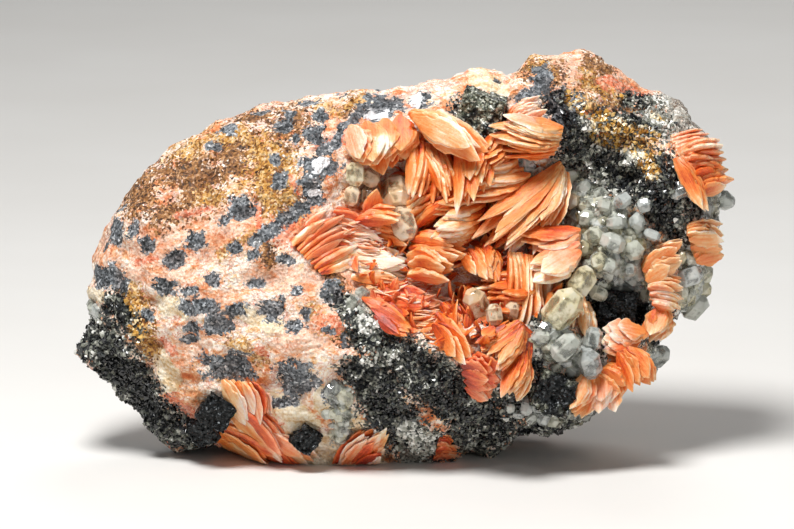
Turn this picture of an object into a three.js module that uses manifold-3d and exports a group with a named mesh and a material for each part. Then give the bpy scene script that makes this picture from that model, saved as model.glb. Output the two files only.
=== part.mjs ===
// Barite on matrix: an ore block, broken from its vein, with bladed barite and cerussite in its pockets.
//
// Millimetres, +Z up, origin on the ground under the middle of the block.
// Everything is laid out in the face frame: x across the display face, z up it, y into the rock.
// The whole specimen is then leaned back by FACE_LEAN, which brings its broken foot flat on the ground.
import * as THREE from "three";
import { ConvexGeometry } from "three/addons/geometries/ConvexGeometry.js";
import { mergeVertices } from "three/addons/utils/BufferGeometryUtils.js";
import Module from "manifold-3d";

const wasm = await Module();
wasm.setup();

// Driving dimensions
const FACE_LEAN = THREE.MathUtils.degToRad(12);
const FOOT_DROP = 27.5; // from the middle of the face down to the broken foot
const SHIFT_ACROSS = 0.06; // brings the middle of the block's box over the origin
const SHIFT_BACK = 1.12;
const ROCK_DETAIL = 9; // icosahedron subdivisions
const SQUARENESS = 0.56; // 1 gives an egg, less gives a block with full shoulders
const RIPPLE_WAVE = 7;
const RIPPLE_HEIGHT = 0.7;
const GAP = 0.35; // clear space between touching pieces
const BED_THICK = 1.3; // crust that the crystals of one group grow from
const BLADE_THICK = 1.9;
const SOLID_SHARE = 0.5; // the share of a row's blades that the solids carry; the rest are finer leaves
const SOLID_WIDTH = 1.25; // and how much wider each of them is for it
const BED_DEPTH = 5; // how far round the rock's shoulder a crust may reach
const SMALL_CRYSTAL = 3.5; // narrower crystals are plain double pyramids
const BED_SIDES = 8; // sides of a crust's outline
const SMALLEST_STEP = 0.08; // slivers finer than this are merged away
const FACE_REACH = 40; // further out of the face than anything stands

// The block's rim, seen square to the face: across and up, anticlockwise from the right.
const RIM = [
  [44.5, 0], [45.9, 5.4], [46.3, 11.4], [45.9, 17.4], [44.8, 20], [42.9, 22.6], [40.5, 24.7], [35.4, 26.7],
  [30.9, 30], [27.6, 31.8], [24.1, 31.9], [18.7, 31.2], [17.4, 29.2], [15.1, 28.3], [11.2, 29.1], [2.8, 27.4],
  [-3.7, 26.2], [-10.3, 25.8], [-16, 24.9], [-22.3, 24.1], [-26.1, 22.3], [-29.5, 20.1], [-32.4, 19.6],
  [-36.4, 16.6], [-38.7, 14.2], [-41.5, 10.3], [-44, 7.4], [-45.3, 4.6], [-46.6, 1.6], [-47.1, -0.9],
  [-47.9, -3.9], [-46.6, -6.8], [-47.7, -9.6], [-48.6, -13], [-47.2, -15.3], [-43.5, -17.9], [-41.5, -20.1],
  [-39, -23.2], [-36.8, -25.7], [-34.5, -27.8], [-28.4, -27], [-25.2, -28.2], [-21.3, -30.3], [-15.8, -31],
  [-12.8, -32.1], [-8.9, -31.4], [-2.4, -30.6], [1.8, -30.4], [6.7, -29.4], [10.6, -27.7], [14.8, -26.4],
  [17.1, -24.3], [21.3, -25], [23.8, -23.8], [27.6, -21.6], [30.9, -18.3], [35.1, -14.8], [37.3, -11.8],
  [39.3, -8.1], [42.6, -4.3],
];

// Flat fracture planes: depth at the middle of the face, then its change per millimetre across and up.
const FRONT_PLANES = [
  [18.5, 0.02, -0.2], [27, -0.05, -0.62], [29, 0, 0.62], [31, -0.42, 0.05], [33, 0.42, 0.12], [31, 0.28, 0.5],
];
const BACK_PLANES = [
  [21, 0.08, 0.1], [25, -0.3, -0.32], [28, 0.42, -0.12], [28, 0.1, 0.55], [27, -0.25, 0.25],
];
const PLANE_SOFTNESS = 0.6;

// Relief of the front: middle across and up, half width, half height, rise. A hollow has a flat floor.
const HOLLOWS = [
  [9, 5, 21, 16, -7], [28, 3, 11, 15, -3.5], [29, 15, 8, 6, -4], [31, -6, 6, 5, -4], [38, 23, 3, 2.5, -2],
];
const LUMPS = [
  [24, 27, 9, 5, 2.5], [11, 23, 4, 5, 2], [-14, -24, 9, 6, 2], [3, -20, 8, 6, 2.2], [18, -21, 6, 4, 1.6],
  [-30, -18, 6, 5, 1.2], [-36, 9, 7, 5, 1], [-22, 4, 8, 5, 0.8], [39, 13, 5, 6, 1.8], [-8, -12, 6, 4, 1],
];

// Rows of blades. Each row: first root, first tip, last root, last tip (across and up), count, lift of
// the roots and of the tips over the rock, blade width, roll out of the face (90 stands on edge).
// A bed is the crust that a group grows from: middle across and up, half width, half height.
const BARITE = {
  barite_pocket: {
    bed: [9, 4, 18.5, 17.5],
    rows: [
      [[-6.4, 20.6], [-3.4, 15.4], [0.2, 21.9], [-0.6, 15], 5, 1.5, 5, 4, 48],
      [[0.8, 22.9], [13, 17], [1.8, 21.8], [10.4, 17.4], 3, 3, 8, 5, 22],
      [[1.7, 18.6], [0.9, 9.5], [4.6, 17.6], [4.1, 9], 3, 1.5, 4.5, 3, 62],
      [[2.7, 17.6], [6.8, 11.3], [4.8, 17.4], [7.4, 9], 3, 2.5, 6, 2.6, 50],
      [[8.4, 18.4], [9.6, 7.3], [10.9, 18.1], [11.6, 11.8], 3, 2.5, 7, 3, 45],
      [[16.6, 14.6], [8.6, 12.1], [18.2, 12.8], [9.2, 10.6], 3, 3, 7, 2.8, 60],
      [[23, 19.8], [12.6, 20.8], [22.4, 17.9], [12.9, 19], 4, 2, 4.5, 4, 68],
      [[15, 21.9], [20.5, 25.3], [15.6, 21.2], [20.4, 24], 2, 1, 1.5, 2.6, 30],
      [[23.2, 14.6], [10.2, 3], [23.4, 14.2], [20, 4.4], 8, 3, 8, 3.8, 36],
      [[11.8, 9.9], [3, 7.4], [11.2, 5.9], [4.6, 2.8], 7, 1.8, 6.5, 3, 45],
      [[-1.4, 7.2], [3.4, 12], [1, 6.4], [7.2, 11], 4, 1.5, 4, 3, 45],
      [[-8.8, 7.6], [-1.2, 7.2], [-5.2, 4.8], [0.8, 3.4], 5, 0.4, 3.2, 2.6, 52],
      [[-7.4, 2.6], [1.4, 2.6], [-6.6, -0.8], [1.8, -1.8], 4, 0.2, 2.6, 4, 20],
      [[0.9, 4.4], [8.2, 3], [0.6, -0.6], [8, -0.9], 5, 1.5, 5, 3.6, 42],
      [[-2.2, -3], [4, -2.2], [-1.6, -6], [4.2, -5.4], 4, 0.5, 2.5, 3.4, 30],
      [[-5.2, -4.4], [1.6, -8], [-3.8, -7], [0.2, -10.6], 3, -0.4, 1, 3.8, 16],
      [[8.6, 2.1], [11.8, -2.2], [12.2, 2.9], [13.6, -2.3], 4, 2, 6, 2.6, 30],
      [[25.8, 4.6], [16.6, 3], [25.6, 1.6], [18.8, -2], 4, 4.5, 6, 4, 42],
      [[16.4, 2], [16.6, -9.4], [18.2, 1.6], [18.2, -11.8], 2, 4, 6.5, 4, 58],
      [[21, 1], [20.4, -9.4], [22, -4], [22.4, -14.6], 2, 4, 5, 3.6, 52],
      [[18.9, -2], [10, -2.5], [19, -4.6], [12, -5.2], 3, 3, 5.5, 2.8, 68],
      [[5.7, -5.4], [10.6, -13.4], [4.6, -8.6], [9.2, -14.6], 3, 2, 5, 3.6, 25],
      [[17.2, -9], [11.4, -13.6], [17.5, -9.6], [14.2, -16.2], 5, 3, 4.5, 2.8, 50],
      [[17.8, -11], [14.4, -19.4], [17.6, -13.4], [15.8, -20.4], 3, 1.5, 3, 3.4, 35],
      [[8.6, -14.2], [13.6, -14.8], [9.2, -17.4], [12.8, -19.6], 4, 1, 2.5, 3.4, 35],
      [[25.7, -3.6], [26.5, -9.2], [27, -5.2], [28.3, -10.7], 2, 1.5, 3, 2.2, 45],
    ],
  },
  barite_right_book: {
    bed: [40.5, 13.5, 3.5, 5.5],
    rows: [
      [[39.4, 18.2], [46.2, 18.6], [43.6, 10], [48.2, 13.4], 7, 0.8, -0.2, 5, 48],
      [[39.8, 15.8], [44.4, 8.2], [40.8, 16], [45, 9], 2, 2, 0.8, 2.6, 15],
    ],
  },
  barite_right_ruffle: {
    bed: [41.5, 3.4, 2.5, 3],
    rows: [[[41.6, 5.5], [47.2, 5.2], [42.8, 1.2], [46.9, 2], 5, 0.8, -0.5, 3.4, 45]],
  },
  barite_right_lens: {
    bed: [36.5, -3.2, 3, 3.5],
    rows: [
      [[35, -0.4], [41.3, 5.2], [35.6, -2], [40.4, 1.4], 3, 1, 2.5, 3.6, 32],
      [[35.8, -2.6], [41.5, -3], [36.6, -4.8], [41, -6.2], 4, 1.5, 1, 2.6, 68],
    ],
  },
  barite_lower_right_fan: {
    bed: [31, -13, 3.5, 5],
    rows: [
      [[37.4, -6.4], [35.9, -11.2], [38.8, -6.4], [37.6, -11], 3, 0.3, 1, 3.4, 15],
      [[34.8, -10.4], [28.8, -9.4], [34, -12.4], [29, -14.4], 6, 1.5, 3, 3, 50],
      [[33, -12], [36.7, -17.4], [31.6, -12.6], [34.6, -18], 3, 2, 2.5, 2.8, 35],
      [[29.6, -14.6], [34, -18], [28.8, -15.4], [32.4, -18.4], 3, 1.5, 2, 2.6, 60],
      [[27, -16.6], [24, -22.8], [29.4, -16.4], [31, -21.2], 7, 1.5, 1.5, 3, 42],
    ],
  },
  barite_lower_left_vein: {
    bed: [-20.5, -23, 5.5, 4.5],
    rows: [
      [[-26.6, -17.6], [-20.4, -24.2], [-24, -17.8], [-18.6, -22.8], 3, -1.3, -0.5, 4.6, 12],
      [[-25, -21.6], [-14.8, -30], [-22.6, -23], [-12.6, -29.6], 4, -1.6, -1.2, 3.2, 30],
    ],
  },
  barite_foot_patch: {
    bed: [-6.5, -27, 3.8, 3.8],
    rows: [
      [[-10.4, -31], [-4, -28.4], [-8, -25], [-2.8, -23.2], 4, -0.2, 0.8, 4.4, 15],
      [[3.9, -29.4], [8.4, -27.8], [4.8, -26], [7.4, -26.4], 3, 0, 0.6, 2.8, 30],
    ],
  },
};

// Stout crystals, each group on a bed: middle across and up, width, length, lift of the middle.
const CERUSSITE = {
  cerussite_pocket_tan: {
    bed: [-1.6, 8.6, 2.4, 3.2],
    crystals: [[-1.4, 10.9, 4.4, 5.6, 2.5], [-0.4, 6.2, 4, 5.4, 2.6], [-3.8, 8.2, 2.2, 3, 2]],
  },
  cerussite_pocket_left: {
    bed: [-6.6, 12, 1.8, 2.4],
    crystals: [
      [-7.4, 13.6, 3, 3.6, 1], [-5.4, 13, 2.4, 3, 1.5], [-8, 10.4, 2.6, 3, 1], [-5.8, 10.4, 2, 2.6, 1],
    ],
  },
  cerussite_pocket_roof: {
    bed: [16.8, 14.2, 3.4, 1.8],
    crystals: [
      [13.8, 15, 2.2, 2.8, 1.5], [16.2, 12.8, 3, 4.2, 2], [17.6, 15, 3, 3.4, 1], [19.6, 13.6, 2, 2.6, 1],
    ],
  },
  cerussite_pocket_pair: {
    bed: [12.8, -6.5, 3.4, 1.8],
    crystals: [[10.4, -5.6, 3.8, 5, 3.4], [13, -7.2, 2.6, 3.2, 3], [15.6, -6.6, 2.4, 3, 3]],
  },
  cerussite_yellow_block: {
    bed: [25.4, -4.4, 2.8, 2.8],
    crystals: [[23, -6.6, 4.8, 7.2, 2.5], [25.8, -2.4, 3.8, 5, 2], [28.4, -4, 2.4, 3, 2]],
  },
  cerussite_grey_block: {
    bed: [25.9, -12.4, 2.6, 2.4],
    crystals: [[23.4, -12, 3.8, 4.6, 2], [27, -14.4, 3.8, 4.6, 2], [27.5, -10.8, 3, 3.6, 1.5]],
  },
  cerussite_right_edge: {
    bed: [43, -3, 3.5, 5],
    crystals: [
      [46.8, 10, 3, 5.4, -3], [44, 8, 3, 3.6, -1], [42, -1.4, 3.4, 4, 1], [44.6, -1.2, 3, 3.4, 0],
      [44.4, -3.6, 2.6, 2.8, 0], [43.2, -6, 4, 4.4, 0], [40.6, 11, 2, 3.4, 0.6],
    ],
  },
  cerussite_lower_corner: {
    bed: [37, -14.2, 1.8, 2],
    crystals: [[38, -13.6, 3, 3.6, -2], [36.6, -16, 2.4, 3.2, -2], [36.8, -13.2, 2.4, 3, -1]],
  },
  cerussite_foot: {
    bed: [20, -21.8, 2.6, 1.8],
    crystals: [[22, -23, 2.2, 2.6, 0.5], [20.5, -21.8, 2.6, 3.2, 0.5], [17.8, -20.4, 2.8, 3.2, 0.5]],
  },
  cerussite_druse: {
    bed: [31.5, 6, 7.5, 9.5],
    crystals: [
      [24.6, 9.6, 2.6, 2.2, 1], [26.4, 11.6, 2.6, 1.8, 1], [26.8, 7, 2.8, 2.4, 1], [32, 9.6, 3, 2.2, 2],
      [28, 4.4, 2.8, 2.4, 1.8], [30.6, 3.4, 3.8, 2.8, 1.8], [31, 6.4, 2.8, 2, 1.6],
      [33.7, 2.3, 3.2, 2.2, 1.6], [36.4, 4.6, 1.6, 2.6, 1.4], [34.2, 6.6, 2.6, 2, 1.4],
      [28.6, 0.6, 2.8, 2.4, 1.5], [35.2, 9, 2.4, 2, 1.2], [30, 0, 2.6, 2.2, 1.6], [33, -0.6, 2.4, 2, 1.5],
      [29.4, 9, 2.4, 2, 1.4], [26.2, 2.6, 2.4, 2, 1.5],
    ],
  },
};

// Galena cubes with cut corners: middle across and up, width, lift, turn in degrees.
const GALENA = {
  galena_crest_block: [[10.9, 22.6, 6.2, -0.6, 20]],
  galena_cavity_cube: [[31.2, -6.4, 5.6, 1.4, 8]],
  galena_lower_cube: [[21.8, -18.6, 5.8, 0.4, 20]],
  galena_left_block: [[-28, -21.2, 4.8, 0.2, 30], [-30.2, -24, 4, -0.2, 65]],
  galena_foot_block: [[-14.8, -25.4, 3.6, 0.8, 40]],
};

const ROCK_MATERIAL = new THREE.MeshStandardMaterial({ color: 0xe6b690, roughness: 0.85, metalness: 0 });
const BARITE_MATERIAL = new THREE.MeshStandardMaterial({ color: 0xee8a48, roughness: 0.4, metalness: 0 });
const CERUSSITE_MATERIAL = new THREE.MeshStandardMaterial({ color: 0xd3cfb8, roughness: 0.15, metalness: 0 });
const GALENA_MATERIAL = new THREE.MeshStandardMaterial({ color: 0x3a3e44, roughness: 0.4, metalness: 0.8 });

// A number from 0 to 1 that depends only on its seed.
function chance(seed) {
  const value = Math.sin(seed * 12.9898) * 43758.5453;
  return value - Math.floor(value);
}

function smoothStep(low, high, value) {
  const x = Math.min(1, Math.max(0, (value - low) / (high - low)));
  return x * x * (3 - 2 * x);
}

// The least of some depths, with the edges between them rounded off.
function softLeast(planes, across, up) {
  const depths = planes.map(([middle, perAcross, perUp]) => middle + perAcross * across + perUp * up);
  const least = Math.min(...depths);
  const sum = depths.reduce((total, depth) => total + Math.exp((least - depth) / PLANE_SOFTNESS), 0);
  return least - PLANE_SOFTNESS * Math.log(sum);
}

// Distance from the middle of the face to the rim, in the direction of an angle.
function rimRadius(angle) {
  const [x, z] = [Math.cos(angle), Math.sin(angle)];
  for (let i = 0; i < RIM.length; i += 1) {
    const [ax, az] = RIM[i];
    const [bx, bz] = RIM[(i + 1) % RIM.length];
    const side = x * az - z * ax;
    const nextSide = x * bz - z * bx;
    if (side <= 0 && nextSide > 0 && x * (ax + bx) + z * (az + bz) > 0) {
      const along = side / (side - nextSide);
      return Math.hypot(ax + along * (bx - ax), az + along * (bz - az));
    }
  }
  return 0;
}

function ripple(across, up) {
  const [a, b] = [across / RIPPLE_WAVE, up / RIPPLE_WAVE];
  const first = Math.sin(2.1 * a + 1.7 * Math.sin(1.3 * b + 0.5));
  const second = Math.sin(1.9 * b + 1.5 * Math.sin(1.6 * a + 2.1));
  return (first + second) / 2 + 0.5 * Math.sin(4.3 * a - 3.1 * b) * Math.sin(2.2 * a + 4.7 * b);
}

function relief(across, up) {
  let rise = RIPPLE_HEIGHT * ripple(across, up);
  for (const [x, z, halfWidth, halfHeight, height] of HOLLOWS) {
    const away = Math.hypot((across - x) / halfWidth, (up - z) / halfHeight);
    rise += height * (1 - smoothStep(0.62, 1.08, away));
  }
  for (const [x, z, halfWidth, halfHeight, height] of LUMPS) {
    rise += height * Math.exp(-(((across - x) / halfWidth) ** 2) - ((up - z) / halfHeight) ** 2);
  }
  return rise;
}

// How far the rock stands out of the middle plane, in front or behind, where its shoulder is this full.
function standing(across, up, fullness, inFront) {
  if (inFront) {
    return fullness * softLeast(FRONT_PLANES, across, up) + Math.min(1, 1.6 * fullness) * relief(across, up);
  }
  return fullness * (softLeast(BACK_PLANES, across, up) + 1.6 * ripple(up, across));
}

// Height of the rock's front over the middle plane at a place on the face.
function frontHeight(across, up) {
  const share = Math.min(1, Math.hypot(across, up) / rimRadius(Math.atan2(up, across)));
  const fullness = (1 - share ** (2 / SQUARENESS)) ** (SQUARENESS / 2);
  return standing(across, up, fullness, true);
}

function solidFrom(geometry) {
  for (const name of Object.keys(geometry.attributes)) {
    if (name !== "position") {
      geometry.deleteAttribute(name);
    }
  }
  const merged = mergeVertices(geometry, 1e-4);
  return new wasm.Manifold(new wasm.Mesh({
    numProp: 3,
    vertProperties: new Float32Array(merged.attributes.position.array),
    triVerts: new Uint32Array(merged.index.array),
  }));
}

// The rock's skin, pushed out along its normals by a margin.
function rockSkin(margin) {
  const ball = new THREE.IcosahedronGeometry(1, ROCK_DETAIL);
  ball.deleteAttribute("normal");
  ball.deleteAttribute("uv");
  const skin = mergeVertices(ball, 1e-5);
  const position = skin.attributes.position;
  for (let i = 0; i < position.count; i += 1) {
    const [x, y, z] = [position.getX(i), position.getY(i), position.getZ(i)];
    const turn = Math.atan2(z, x);
    const latitude = Math.atan2(Math.abs(y), Math.hypot(x, z));
    const share = Math.cos(latitude) ** SQUARENESS * rimRadius(turn);
    const [across, up] = [share * Math.cos(turn), share * Math.sin(turn)];
    const out = standing(across, up, Math.sin(latitude) ** SQUARENESS, y < 0);
    position.setXYZ(i, across, y < 0 ? -out : out, up);
  }
  skin.computeVertexNormals();
  const normal = skin.attributes.normal;
  for (let i = 0; i < position.count; i += 1) {
    position.setXYZ(
      i,
      position.getX(i) + margin * normal.getX(i),
      position.getY(i) + margin * normal.getY(i),
      position.getZ(i) + margin * normal.getZ(i),
    );
  }
  return solidFrom(skin);
}

// The ground in the face frame, raised by a clearance.
function ground(clearance) {
  const size = 300;
  const block = new THREE.BoxGeometry(size, size, size);
  block.translate(0, 0, clearance - FOOT_DROP - size / 2);
  block.rotateX(FACE_LEAN);
  return solidFrom(block);
}

// One blade from root to tip: a six-sided lens that thins from a long ridge to a sharp edge.
function blade(root, tip, width, thick, roll, grow) {
  const along = tip.clone().sub(root);
  const length = along.length() + 2 * grow;
  along.normalize();
  const out = new THREE.Vector3(0, -1, 0);
  const flat = out.addScaledVector(along, -out.dot(along)).normalize();
  const side = new THREE.Vector3().crossVectors(along, flat);
  const normal = flat.clone().multiplyScalar(Math.cos(roll)).addScaledVector(side, Math.sin(roll));
  const breadth = new THREE.Vector3().crossVectors(normal, along);
  const edge = [[0, 0, 0], [0.28, 0.5, 0], [0.72, 0.4, 0], [1, 0, 0], [0.72, -0.4, 0], [0.28, -0.5, 0]];
  const ridges = [[0.2, 0, 0.5], [0.74, 0, 0.5], [0.2, 0, -0.5], [0.74, 0, -0.5]];
  const points = [...edge, ...ridges].map(([share, offset, lift]) => (
    root.clone()
      .addScaledVector(along, share * length - grow)
      .addScaledVector(breadth, offset * (width + 2 * grow))
      .addScaledVector(normal, lift * (thick + 2 * grow))
  ));
  return solidFrom(new ConvexGeometry(points));
}

// The blades of one row, fanned from its first root and tip to its last.
function bladeRow(row, grow) {
  const [firstRoot, firstTip, lastRoot, lastTip, full, rootLift, tipLift, width, roll] = row;
  const count = Math.max(1, Math.round(full * SOLID_SHARE));
  const reach = (root, tip) => Math.hypot(tip[0] - root[0], tip[1] - root[1]);
  const heading = (root, tip) => Math.atan2(tip[1] - root[1], tip[0] - root[0]);
  const firstHeading = heading(firstRoot, firstTip);
  const turn = heading(lastRoot, lastTip) - firstHeading;
  const sweep = Math.atan2(Math.sin(turn), Math.cos(turn));
  const blades = [];
  for (let i = 0; i < count; i += 1) {
    const share = count > 1 ? i / (count - 1) : 0.5;
    const across = firstRoot[0] + share * (lastRoot[0] - firstRoot[0]);
    const up = firstRoot[1] + share * (lastRoot[1] - firstRoot[1]);
    const long = (1 - share) * reach(firstRoot, firstTip) + share * reach(lastRoot, lastTip);
    const angle = firstHeading + share * sweep;
    const base = frontHeight(across, up);
    const uneven = chance(across * 3 + up * 5 + i);
    const root = new THREE.Vector3(across, -base - rootLift, up);
    const tip = new THREE.Vector3(
      across + long * Math.cos(angle),
      -base - tipLift - 1.5 * (uneven - 0.5),
      up + long * Math.sin(angle),
    );
    const tilt = THREE.MathUtils.degToRad(roll + 16 * (uneven - 0.5));
    const breadth = width * SOLID_WIDTH * (0.85 + 0.3 * uneven);
    blades.push(blade(root, tip, breadth, BLADE_THICK, tilt, grow));
  }
  return blades;
}

// A stout six-sided crystal with pointed ends, turned its own way.
function stoutCrystal([across, up, width, length, lift], grow) {
  const half = length / 2 + grow;
  const radius = width / 2 + grow;
  const points = [new THREE.Vector3(0, half, 0), new THREE.Vector3(0, -half, 0)];
  for (let i = 0; i < 6; i += 1) {
    const angle = (i * Math.PI) / 3;
    for (const level of width < SMALL_CRYSTAL ? [0] : [-0.45, 0.45]) {
      points.push(new THREE.Vector3(radius * Math.cos(angle), level * half, radius * Math.sin(angle)));
    }
  }
  const geometry = new ConvexGeometry(points);
  const seed = across * 7 + up * 3;
  geometry.rotateY(Math.PI * chance(seed));
  geometry.rotateX(Math.PI * (chance(seed + 1) - 0.5));
  geometry.rotateZ(Math.PI * (chance(seed + 2) - 0.5));
  geometry.translate(across, -frontHeight(across, up) - lift, up);
  return solidFrom(geometry);
}

// A galena cube with its corners cut off.
function cutCube([across, up, width, lift, turn], grow) {
  const half = width / 2 + grow;
  const cut = half * 0.62;
  const points = [];
  for (const x of [-1, 1]) {
    for (const y of [-1, 1]) {
      for (const z of [-1, 1]) {
        points.push(new THREE.Vector3(x * cut, y * half, z * half));
        points.push(new THREE.Vector3(x * half, y * cut, z * half));
        points.push(new THREE.Vector3(x * half, y * half, z * cut));
      }
    }
  }
  const geometry = new ConvexGeometry(points);
  geometry.rotateY(THREE.MathUtils.degToRad(turn));
  geometry.rotateX(THREE.MathUtils.degToRad(turn / 2));
  geometry.translate(across, -frontHeight(across, up) - lift, up);
  return solidFrom(geometry);
}

// The crust on a patch of the face, between the rock's skin and a second skin over it.
function crystalBed([across, up, halfWidth, halfHeight], grow) {
  const inner = frontHeight(across, up) - BED_DEPTH;
  const patch = new THREE.CylinderGeometry(1, 1, FACE_REACH - inner, BED_SIDES);
  patch.scale(halfWidth + grow, 1, halfHeight + grow);
  patch.translate(across, -(FACE_REACH + inner) / 2, up);
  return solidFrom(patch).intersect(rockSkin(BED_THICK + grow));
}

// All the crystals of one group in one solid, grown by a clearance where it is to cut its neighbours.
function group(parts, bed, grow) {
  let whole = parts[0];
  for (const part of parts.slice(1)) {
    whole = whole.add(part);
  }
  return bed ? whole.add(crystalBed(bed, grow)) : whole;
}

function biggestPiece(solid) {
  return solid.decompose().reduce((best, piece) => (piece.volume() > best.volume() ? piece : best));
}

function meshOf(name, solid, material) {
  const { numProp, vertProperties, triVerts } = solid.getMesh();
  const points = new Float32Array((vertProperties.length / numProp) * 3);
  for (let i = 0; i < points.length / 3; i += 1) {
    points.set(vertProperties.subarray(i * numProp, i * numProp + 3), i * 3);
  }
  const geometry = new THREE.BufferGeometry();
  geometry.setAttribute("position", new THREE.BufferAttribute(points, 3));
  geometry.setIndex(new THREE.BufferAttribute(new Uint32Array(triVerts), 1));
  geometry.computeVertexNormals();
  const mesh = new THREE.Mesh(geometry, material);
  mesh.name = name;
  return mesh;
}

const specimen = new THREE.Group();
specimen.rotation.x = -FACE_LEAN;
specimen.add(meshOf("matrix", rockSkin(0).subtract(ground(0)), ROCK_MATERIAL));

// What grows on the matrix, the stout crystals first: each later piece is cut clear of the earlier ones.
const growths = [];
for (const [name, crystals] of Object.entries(GALENA)) {
  const build = (grow) => group(crystals.map((row) => cutCube(row, grow)), null, grow);
  growths.push([name, GALENA_MATERIAL, build]);
}
for (const [name, { bed, crystals }] of Object.entries(CERUSSITE)) {
  const build = (grow) => group(crystals.map((row) => stoutCrystal(row, grow)), bed, grow);
  growths.push([name, CERUSSITE_MATERIAL, build]);
}
for (const [name, { bed, rows }] of Object.entries(BARITE)) {
  const build = (grow) => group(rows.flatMap((row) => bladeRow(row, grow)), bed, grow);
  growths.push([name, BARITE_MATERIAL, build]);
}
let taken = rockSkin(GAP).add(ground(1));
for (const [name, material, build] of growths) {
  specimen.add(meshOf(name, biggestPiece(build(0).subtract(taken).simplify(SMALLEST_STEP)), material));
  taken = taken.add(build(GAP));
}

const part = new THREE.Group();
specimen.position.set(SHIFT_ACROSS, SHIFT_BACK, FOOT_DROP);
part.add(specimen);

export default part;
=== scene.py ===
"""Barite on matrix: the finished look of the specimen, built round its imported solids.

Metres in Blender, millimetres in the tables. The tables use the face frame of the solids: across the
display face, up it, and out of it. to_world() leans that frame back onto the broken foot.
"""
import math

import bmesh
import bpy
import numpy as np
from mathutils import Matrix, Vector, noise


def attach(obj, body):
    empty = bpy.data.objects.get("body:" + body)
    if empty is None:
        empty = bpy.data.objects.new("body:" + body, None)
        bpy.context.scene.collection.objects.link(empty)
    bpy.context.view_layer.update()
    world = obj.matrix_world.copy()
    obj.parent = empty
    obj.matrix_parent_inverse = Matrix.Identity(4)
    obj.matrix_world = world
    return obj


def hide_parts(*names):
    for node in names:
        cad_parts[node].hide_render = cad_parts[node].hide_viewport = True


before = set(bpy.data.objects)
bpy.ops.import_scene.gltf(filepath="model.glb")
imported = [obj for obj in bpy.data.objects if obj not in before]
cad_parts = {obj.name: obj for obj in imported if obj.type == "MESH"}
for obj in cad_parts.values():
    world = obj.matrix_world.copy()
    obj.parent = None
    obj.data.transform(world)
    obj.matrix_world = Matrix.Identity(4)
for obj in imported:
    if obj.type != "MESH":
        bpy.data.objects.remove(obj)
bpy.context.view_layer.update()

MM = 0.001
SEED = 41
FAR_OFF = 9.0 # radii or half widths away: further than any place or stroke reaches
OVAL_FADE = (0.75, 1) # from where to where an oval fades, in shares of its half size
PLACE_FADE = (0.5, 1.1) # the same for a round place

# ---------------------------------------------------------------- the solids' frame and rock form
FACE_LEAN = math.radians(12)
FOOT_DROP = 27.5
SHIFT_ACROSS = 0.06
SHIFT_BACK = 1.12
LEAN_SINE = math.sin(FACE_LEAN)
LEAN_COSINE = math.cos(FACE_LEAN)
SQUARENESS = 0.56
RIPPLE_WAVE = 7
RIPPLE_HEIGHT = 0.7
PLANE_SOFTNESS = 0.6
HOLLOW_WALL = (0.62, 1.08) # from where to where a hollow's wall runs, in shares of its half size
RELIEF_START = 1.6 # how soon the front's relief sets in behind the rim
BACK_RIPPLE = 1.6

# The block's rim, seen square to the face: across and up, anticlockwise from the right.
RIM = [
    (44.5, 0), (45.9, 5.4), (46.3, 11.4), (45.9, 17.4), (44.8, 20), (42.9, 22.6), (40.5, 24.7),
    (35.4, 26.7), (30.9, 30), (27.6, 31.8), (24.1, 31.9), (18.7, 31.2), (17.4, 29.2), (15.1, 28.3),
    (11.2, 29.1), (2.8, 27.4), (-3.7, 26.2), (-10.3, 25.8), (-16, 24.9), (-22.3, 24.1), (-26.1, 22.3),
    (-29.5, 20.1), (-32.4, 19.6), (-36.4, 16.6), (-38.7, 14.2), (-41.5, 10.3), (-44, 7.4), (-45.3, 4.6),
    (-46.6, 1.6), (-47.1, -0.9), (-47.9, -3.9), (-46.6, -6.8), (-47.7, -9.6), (-48.6, -13), (-47.2, -15.3),
    (-43.5, -17.9), (-41.5, -20.1), (-39, -23.2), (-36.8, -25.7), (-34.5, -27.8), (-28.4, -27),
    (-25.2, -28.2), (-21.3, -30.3), (-15.8, -31), (-12.8, -32.1), (-8.9, -31.4), (-2.4, -30.6),
    (1.8, -30.4), (6.7, -29.4), (10.6, -27.7), (14.8, -26.4), (17.1, -24.3), (21.3, -25), (23.8, -23.8),
    (27.6, -21.6), (30.9, -18.3), (35.1, -14.8), (37.3, -11.8), (39.3, -8.1), (42.6, -4.3),
]
# Flat fracture planes: depth at the middle of the face, then its change per millimetre across and up.
FRONT_PLANES = [
    (18.5, 0.02, -0.2), (27, -0.05, -0.62), (29, 0, 0.62), (31, -0.42, 0.05), (33, 0.42, 0.12),
    (31, 0.28, 0.5),
]
BACK_PLANES = [
    (21, 0.08, 0.1), (25, -0.3, -0.32), (28, 0.42, -0.12), (28, 0.1, 0.55), (27, -0.25, 0.25),
]
# Relief of the front: middle across and up, half width, half height, rise.
HOLLOWS = [
    (9, 5, 21, 16, -7), (28, 3, 11, 15, -3.5), (29, 15, 8, 6, -4), (31, -6, 6, 5, -4), (38, 23, 3, 2.5, -2),
]
LUMPS = [
    (24, 27, 9, 5, 2.5), (11, 23, 4, 5, 2), (-14, -24, 9, 6, 2), (3, -20, 8, 6, 2.2), (18, -21, 6, 4, 1.6),
    (-30, -18, 6, 5, 1.2), (-36, 9, 7, 5, 1), (-22, 4, 8, 5, 0.8), (39, 13, 5, 6, 1.8), (-8, -12, 6, 4, 1),
]

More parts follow.
